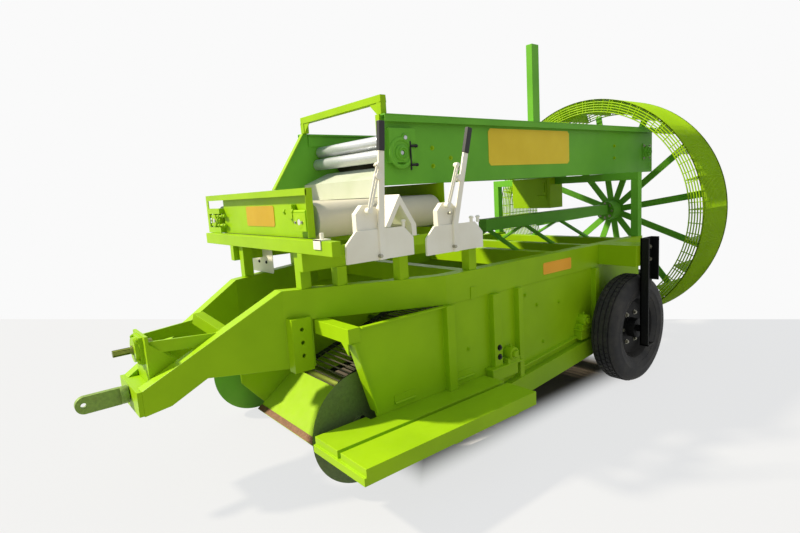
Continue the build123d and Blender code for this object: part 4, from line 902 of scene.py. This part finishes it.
# Each row: lower link end, upper link end, knuckle, nut, lower bolt, as (x, z).
clamps = [
    ((0.122, 1.392), (0.193, 1.605), (0.193, 1.553), (0.164, 1.418), (0.185, 1.170)),
    ((0.639, 1.387), (0.719, 1.596), (0.735, 1.526), (0.663, 1.343), (0.690, 1.160)),
]
shell = bmesh.new()
pins = bmesh.new()
for low_end, high_end, knuckle, nut, low_bolt in clamps:
    for offset in (0.0, LINK_STEP):
        start = at(low_end[0] + offset, CLAMP_Y, low_end[1])
        end = at(high_end[0] + offset, CLAMP_Y, high_end[1])
        flat_into(shell, start, end, 0.011, 0.006, (0, 1, 0))
    for x, z, radius in ((*low_end, 0.016), (*high_end, 0.013)):
        middle = x + LINK_STEP / 2
        bar_into(shell, at(middle, CLAMP_Y - 0.008, z), at(middle, PAD_Y, z), radius)
    bar_into(shell, at(knuckle[0], CLAMP_Y - 0.014, knuckle[1]), at(knuckle[0], -0.781, knuckle[1]), 0.019)
    for x, z in (nut, low_bolt, (knuckle[0], knuckle[1] + 0.05)):
        bar_into(pins, at(x, -0.800, z), at(x, PAD_Y, z), 0.009, steps=6)
for x, z in ((0.353, 1.300), (0.847, 1.280), (0.900, 1.280)):
    bar_into(shell, at(x, KNOB_Y, z - 0.004), at(x, KNOB_Y, z + 0.034), 0.009)
    bar_into(shell, at(x, KNOB_Y, z + 0.022), at(x, KNOB_Y, z + 0.030), 0.014)
box_into(shell, at(-0.081, -0.677, 1.225), at(-0.0755, -0.612, 1.272))
box_into(shell, at(-0.081, -0.677, 1.2655), at(-0.020, -0.612, 1.272))
bar_into(shell, at(-0.050, -0.645, 1.270), at(-0.050, -0.645, 1.302), 0.010)
piece_from("bag_clamp_links", shell, CREAM, "chassis", bevel=0.0012)
piece_from("bag_clamp_pins", pins, BOLT_ZINC, "chassis")
print("bag clamps:", len(clamps))

# %% [markdown]
# Bearings and housings. A closed flange bearing on a square plate carries the picking
# belt's rear shaft. The cleaning rollers run in open rings, so that their pins stay free,
# and so do the cross belt's drums. Each is one turned profile. Black tee screws stand on
# the rollers' housing, and an upright black rod beside it is painted shade for the gap there.

# %% bearings
FLANGE_LINE = [(0, 0), (0, 0.057), (0.007, 0.057), (0.011, 0.052), (0.015, 0.042), (0.027, 0.041),
               (0.031, 0.036), (0.026, 0.031), (0.020, 0.025), (0.020, 0.014), (0.032, 0.012), (0.035, 0.0)]
REAR_SHAFT_X = 3.500
REAR_SHAFT_Z = 1.690
REAR_PLATE = 0.075
REAR_PLATE_FACE = 0.462
REAR_BOLT = 0.055
HOUSING_RING = [(0, 0.088), (0.004, 0.088), (0.006, 0.084), (0.006, 0.070), (0.003, 0.067), (0, 0.064)]
OPEN_BEARING = [(0, 0.044), (0.006, 0.044), (0.009, 0.040), (0.011, 0.033), (0.020, 0.031), (0.022, 0.027),
                (0.014, 0.022), (0.014, 0.0145), (0, 0.0145)]
PIN_COLLAR = [(0, 0.024), (0.006, 0.024), (0.008, 0.021), (0.008, 0.0145), (0, 0.0145)]
CROSS_LINE = [(0, 0.030), (0.004, 0.044), (0.008, 0.044), (0.010, 0.036), (0.010, 0.018), (0, 0.018)]
CROSS_SHAFT_Z = 1.349
CROSS_BOLT = 0.034
HOUSING_FACE = 0.486
TEE_Y = 0.494

shell = bmesh.new()
bearing_bolts = []
for side in (-1, 1):
    outward = Vector((0, side, 0))
    box_into(shell, at(REAR_SHAFT_X - REAR_PLATE, side * PICK_FACE, REAR_SHAFT_Z - REAR_PLATE),
             at(REAR_SHAFT_X + REAR_PLATE, side * REAR_PLATE_FACE, REAR_SHAFT_Z + REAR_PLATE))
    lathe_into(shell, FLANGE_LINE, at(REAR_SHAFT_X, side * REAR_PLATE_FACE, REAR_SHAFT_Z), outward, steps=32)
    corners = [at(REAR_SHAFT_X + dx, side * REAR_PLATE_FACE, REAR_SHAFT_Z + dz)
               for dx in (-REAR_BOLT, REAR_BOLT) for dz in (-REAR_BOLT, REAR_BOLT)]
    bearing_bolts.append((corners, [outward] * 4))
    for line, x, z in ((HOUSING_RING, 0.600, 1.688), (OPEN_BEARING, 0.600, 1.688), (PIN_COLLAR, 0.630, 1.772)):
        lathe_into(shell, line, at(x, side * HOUSING_FACE, z), outward, steps=40, closed=True)
piece_from("picking_bearings", shell, PAINTED_SHADE_LIME, "chassis", bevel=0.0008)
shell = bmesh.new()
for y in (-0.410, 0.820):
    for x, way in ((-0.030, -1), (0.930, 1)):
        out = Vector((way, 0, 0))
        lathe_into(shell, CROSS_LINE, at(x, y, CROSS_SHAFT_Z), out, steps=28, closed=True)
        bolts = [at(x + 0.006 * way, y + dy, CROSS_SHAFT_Z) for dy in (CROSS_BOLT, -CROSS_BOLT)]
        bearing_bolts.append((bolts, [out] * 2))
piece_from("cross_bearings", shell, LIME, "chassis", bevel=0.0008)
bolt_group("bearing_bolts", bearing_bolts, BOLT_ZINC, "chassis", "lime_paint", 0.0085, 0.007)
shell = bmesh.new()
for side in (-1, 1):
    # painted shade: an upright black rod standing for the dark gap beside the rollers' housing
    bar_into(shell, at(0.664, side * 0.4915, 1.590), at(0.664, side * 0.4915, 1.752), 0.0055)
    for z in (1.620, 1.726):
        bar_into(shell, at(0.660, side * TEE_Y, z), at(0.712, side * TEE_Y, z), 0.008)
        bar_into(shell, at(0.700, side * TEE_Y, z), at(0.712, side * TEE_Y, z), 0.011, steps=6)
piece_from("roller_tee_screws_and_shade_rod", shell, BOLT_BLACK, "chassis")
print("bearings:", len(bearing_bolts))

# %% [markdown]
# Plates and straps. Small sheet pieces are fixed on: three blank enamel plates on the
# conveyor's wall, the cross conveyor and the beam, a cream guard beside the drawbar,
# hinge strips above the platform, a latch on the rear box and a tab on the beam.

# %% plates and straps
YELLOW = enamel("yellow plate enamel", "#F0D23A", "#E8C832", rough=0.45, dust_share=0.0, gloss=0.2)
# painted shade: a darker copy of the yellow plate enamel, for the plate on the cross conveyor's front
SHADED_YELLOW = enamel("yellow plate enamel in painted shade", "#C4A02A", "#BB9724", rough=0.45, dust_share=0.0, gloss=0.2)
ORANGE = enamel("orange plate enamel", "#FFB43A", "#F5A930", rough=0.45, dust_share=0.0, gloss=0.2)


def plate_into(shell, low, high, normal, round_by):
    """A thin sheet with clipped corners between two opposite corners, standing out along normal."""
    low, high = Vector(low), Vector(high)
    axis = next(i for i in range(3) if abs(normal[i]) > 0)
    a, b = [i for i in range(3) if i != axis]
    outline = []
    for u, v, du, dv in ((low[a], low[b], 1, 1), (high[a], low[b], -1, 1), (high[a], high[b], -1, -1),
                         (low[a], high[b], 1, -1)):
        first, second = (u, v + dv * round_by), (u + du * round_by, v)
        outline += [first, second] if du * dv > 0 else [second, first]
    rows = []
    for depth in (low[axis], high[axis]):
        row = []
        for u, v in outline:
            spot = Vector((0, 0, 0))
            spot[a], spot[b], spot[axis] = u, v, depth
            row.append(shell.verts.new(spot))
        rows.append(row)
    shell.faces.new(rows[0])
    shell.faces.new(rows[1])
    for here in range(len(outline)):
        there = (here + 1) % len(outline)
        shell.faces.new((rows[0][here], rows[0][there], rows[1][there], rows[1][here]))


TO_LEFT = (0, -1, 0)
TO_FRONT = (-1, 0, 0)
# Each row: name, finish, slot, low corner, high corner, outward direction, corner clip.
PLATES = [
    ("blank_yellow_plate", YELLOW, "lime_paint",
     (1.366, -0.4585, 1.605), (2.283, -0.456, 1.846), TO_LEFT, 0.02),
    # painted shade: this plate takes the darker yellow
    ("blank_yellow_plate_in_shade", SHADED_YELLOW, "lime_paint",
     (-0.0085, -0.065, 1.318), (-0.006, 0.320, 1.437), TO_FRONT, 0.01),
    ("blank_orange_plate", ORANGE, "lime_paint",
     (1.533, -0.7475, 0.872), (1.850, -0.745, 0.950), TO_LEFT, 0.008),
    ("cream_guard", CREAM, "cream_paint",
     (0.1165, 0.280, 1.000), (0.1200, 0.640, 1.170), TO_FRONT, 0.01),
]
for name, finish, slot, low, high, normal, clip in PLATES:
    shell = bmesh.new()
    plate_into(shell, at(*low), at(*high), normal, clip)
    piece_from(name, shell, finish, "chassis")
guard_bolts = [at(0.1165, y, 1.069) for y in (0.373, 0.481)]
bolt_group("guard_bolts", [(guard_bolts, [Vector((-1, 0, 0))] * 2)], BOLT_BLACK, "chassis", "cream_paint",
           0.008, 0.006)
shell = bmesh.new()
for x0, x1 in ((0.248, 0.385), (0.703, 0.844)):
    box_into(shell, at(x0, -0.744, 0.385), at(x1, -0.740, 0.425))
    bar_into(shell, at(x0, -0.746, 0.384), at(x1, -0.746, 0.384), 0.007)
box_into(shell, at(0.840, -0.750, 0.833), at(0.880, -0.745, 0.905))
box_into(shell, at(2.699, 0.054, 1.310), at(2.705, 0.151, 1.496))
box_into(shell, at(2.690, 0.072, 1.380), at(2.699, 0.100, 1.470))
bar_into(shell, at(2.694, 0.060, 1.350), at(2.694, 0.145, 1.350), 0.007)
piece_from("straps_and_hinges", shell, LIME, "chassis", bevel=0.001)
print("plates:", len(PLATES))

# %% [markdown]
# Where the crop drops from the picking belt, a pale sheet slopes from the rollers to the
# cross belt and ends in an upright apron. The conveyor's open front edges are stiffened
# with a folded strip, and small gussets brace the frame over it.

# %% chute and front edges
shell = bmesh.new()
CHUTE_HALF = 0.4505
GUSSET = [(0.416, 1.967), (0.416, 1.900), (0.340, 1.967)]
chute_line = [(0.484, 1.447), (0.484, 1.552), (0.676, 1.626), (0.679, 1.620), (0.488, 1.546), (0.488, 1.447)]
rows = [[shell.verts.new(at(x, y, z)) for x, z in chute_line] for y in (-CHUTE_HALF, CHUTE_HALF)]
for row in rows:
    shell.faces.new((row[0], row[1], row[4], row[5]))
    shell.faces.new((row[1], row[2], row[3], row[4]))
for here in range(len(chute_line)):
    there = (here + 1) % len(chute_line)
    shell.faces.new((rows[0][here], rows[0][there], rows[1][there], rows[1][here]))
piece_from("chute_sheet", shell, SHEET_WHITE, "chassis")
shell = bmesh.new()
box_into(shell, at(0.480, -0.456, 1.512), at(0.490, -0.420, 1.900))
flat_into(shell, at(0.243, 0.436, 1.531), at(0.489, 0.436, 1.897), 0.006, 0.040, (0, 1, 0))
for side in (-1, 1):
    rows = []
    for x in (0.500, 0.506):
        rows.append([shell.verts.new(at(x, side * y, z)) for y, z in GUSSET])
    shell.faces.new(rows[0])
    shell.faces.new(rows[1])
    for here in range(len(GUSSET)):
        there = (here + 1) % len(GUSSET)
        shell.faces.new((rows[0][here], rows[0][there], rows[1][there], rows[1][here]))
piece_from("front_edge_strips", shell, LIME, "chassis", bevel=0.001)
shell = bmesh.new()
box_into(shell, at(0.540, 0.440, 1.815), at(1.060, 0.450, 1.892))
box_into(shell, at(0.540, 0.428, 1.884), at(1.060, 0.450, 1.892))
piece_from("right_wall_strip", shell, PAINTED_SHADE_LIME, "chassis", bevel=0.001)
print("chute line:", len(chute_line))

# %% [markdown]
# The cross belt is stretched by screws. At the near end a bearing box slides on its plate
# and a screw pulls it, at the far end two long screws run along the take-up arms.

# %% take-up screws
SCREW_X = -0.024
SCREW_Z = 1.402
NUT_LONG = 0.013
HUB_LINE = [(0, 0.0), (0, 0.030), (0.012, 0.030), (0.014, 0.020), (0.026, 0.018), (0.026, 0.0)]
shell = bmesh.new()
box_into(shell, at(-0.040, -0.500, 1.270), at(-0.006, -0.496, 1.514))
box_into(shell, at(-0.039, -0.480, 1.302), at(-0.030, -0.352, 1.396))
box_into(shell, at(-0.034, -0.332, 1.366), at(-0.006, -0.262, 1.440))
bar_into(shell, at(SCREW_X, -0.470, SCREW_Z), at(SCREW_X, -0.240, SCREW_Z), 0.010)
for y in (-0.345, -0.252):
    bar_into(shell, at(SCREW_X, y, SCREW_Z), at(SCREW_X, y + NUT_LONG, SCREW_Z), 0.018, steps=6)
for x, way in ((SCREW_X, -1), (0.924, 1)):
    for z in (1.318, 1.380):
        bar_into(shell, at(x, 0.640, z), at(x, 0.924, z), 0.009)
        for y in (0.665, 0.735, 0.905):
            bar_into(shell, at(x, y, z), at(x, y + NUT_LONG, z), 0.016, steps=6)
    lathe_into(shell, HUB_LINE, at(x - 0.010 * way, 0.760, CROSS_SHAFT_Z), (0, -1, 0), steps=20)
piece_from("take_up_screws", shell, LIME, "chassis", bevel=0.0008)
print("take-up screws ready")

# %% [markdown]
# The web's bearing blocks are castings with a turned face round the shaft end. The post
# in front of the first one carries two black adjusting bolts.

# %% bearing faces
FACE_LINE = [(0, 0.041), (0.005, 0.041), (0.009, 0.036), (0.009, 0.029), (0.005, 0.026), (0.005, 0.0215),
             (0, 0.0215)]
shell = bmesh.new()
for side in (-1, 1):
    for x, z in ((1.150, 0.440), (1.960, 0.4844)):
        lathe_into(shell, FACE_LINE, at(x, side * 0.7955, z), (0, side, 0), steps=32, closed=True)
        bar_into(shell, at(x, side * 0.770, z + 0.040), at(x, side * 0.770, z + 0.058), 0.006)
piece_from("bearing_faces", shell, LIME, "chassis")
slot_spots = [at(1.036, side * 0.780, z) for side in (-1, 1) for z in (0.504, 0.446)]
slot_axes = [Vector((0, side, 0)) for side in (-1, 1) for z in (0.504, 0.446)]
bolt_group("adjusting_bolts", [(slot_spots, slot_axes)], BOLT_BLACK, "chassis", "dark_steel", 0.014, 0.010)
print("bearing faces ready")

# %% [markdown]
# Folded lips, wheel legs and the share's edge. The picking walls end in a lip that is
# folded down again, which gives the band along their top. The wheel legs are black
# channels, wide where they bolt to the outrigger and narrow beside the rim. The share's
# cutting edge is worn to bare brown steel.

# %% lips, legs and edge
LEG_IN = 1.032
LEG_OUT = 1.092
LEG_SHEET = 0.012
LEG_LOW = 0.280
LEG_TOP = 1.050
LEG_FRONT = 2.252
LEG_REAR = 2.407
LEG_NARROW = 2.345
LEG_NECK = 0.600
LEG_SHOULDER = 0.740
LEG_WEB = [(LEG_FRONT, LEG_LOW), (LEG_NARROW, LEG_LOW), (LEG_NARROW, LEG_NECK), (LEG_REAR, LEG_SHOULDER),
           (LEG_REAR, LEG_TOP), (LEG_FRONT, LEG_TOP)]
AXLE_X = 2.302
AXLE_Z = 0.390
AXLE_PIN_R = 0.024
EDGE_MID = (0.0483, 0.0465)
EDGE_HALF = 0.560


def prism_into(shell, outline, y0, y1):
    """An outline of (x, z) points carried from one y to another."""
    rows = [[shell.verts.new(at(x, y, z)) for x, z in outline] for y in (y0, y1)]
    for row in rows:
        shell.faces.new(row)
    for here in range(len(outline)):
        there = (here + 1) % len(outline)
        shell.faces.new((rows[0][here], rows[0][there], rows[1][there], rows[1][here]))


shell = bmesh.new()
for side in (-1, 1):
    box_into(shell, at(0.490, side * 0.492, 1.858), at(3.610, side * 0.496, 1.8918))
piece_from("wall_lip_folds", shell, PAINTED_SHADE_LIME, "chassis", bevel=0.001)
for word, side in (("left", -1), ("right", 1)):
    shell = bmesh.new()
    prism_into(shell, LEG_WEB, side * LEG_IN, side * (LEG_IN + LEG_SHEET))
    box_into(shell, at(LEG_FRONT, side * LEG_IN, LEG_LOW), at(LEG_FRONT + LEG_SHEET, side * LEG_OUT, LEG_TOP))
    box_into(shell, at(LEG_REAR - LEG_SHEET, side * LEG_IN, LEG_SHOULDER),
             at(LEG_REAR, side * LEG_OUT, LEG_TOP))
    box_into(shell, at(LEG_FRONT, side * LEG_IN, LEG_LOW), at(LEG_NARROW, side * LEG_OUT, LEG_LOW + LEG_SHEET))
    bar_into(shell, at(AXLE_X, side * 0.844, AXLE_Z), at(AXLE_X, side * 1.062, AXLE_Z), AXLE_PIN_R, steps=24)
    leg = piece_from("wheel_leg_" + word + "_channel", shell, BLACK_PAINT, "chassis", bevel=0.002)
    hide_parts("wheel_leg_" + word)
shell = bmesh.new()
flat_into(shell, at(EDGE_MID[0], -EDGE_HALF, EDGE_MID[1]), at(EDGE_MID[0], EDGE_HALF, EDGE_MID[1]),
          0.040, 0.003, (-0.5815, 0, 0.8135))
piece_from("share_wear_edge", shell, SHARE_STEEL, "chassis")
print("lips, legs and edge ready")

# %% [markdown]
# Last, the box round every shown piece of the dressed machine is measured.

# %% size of the dressed machine
low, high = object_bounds()
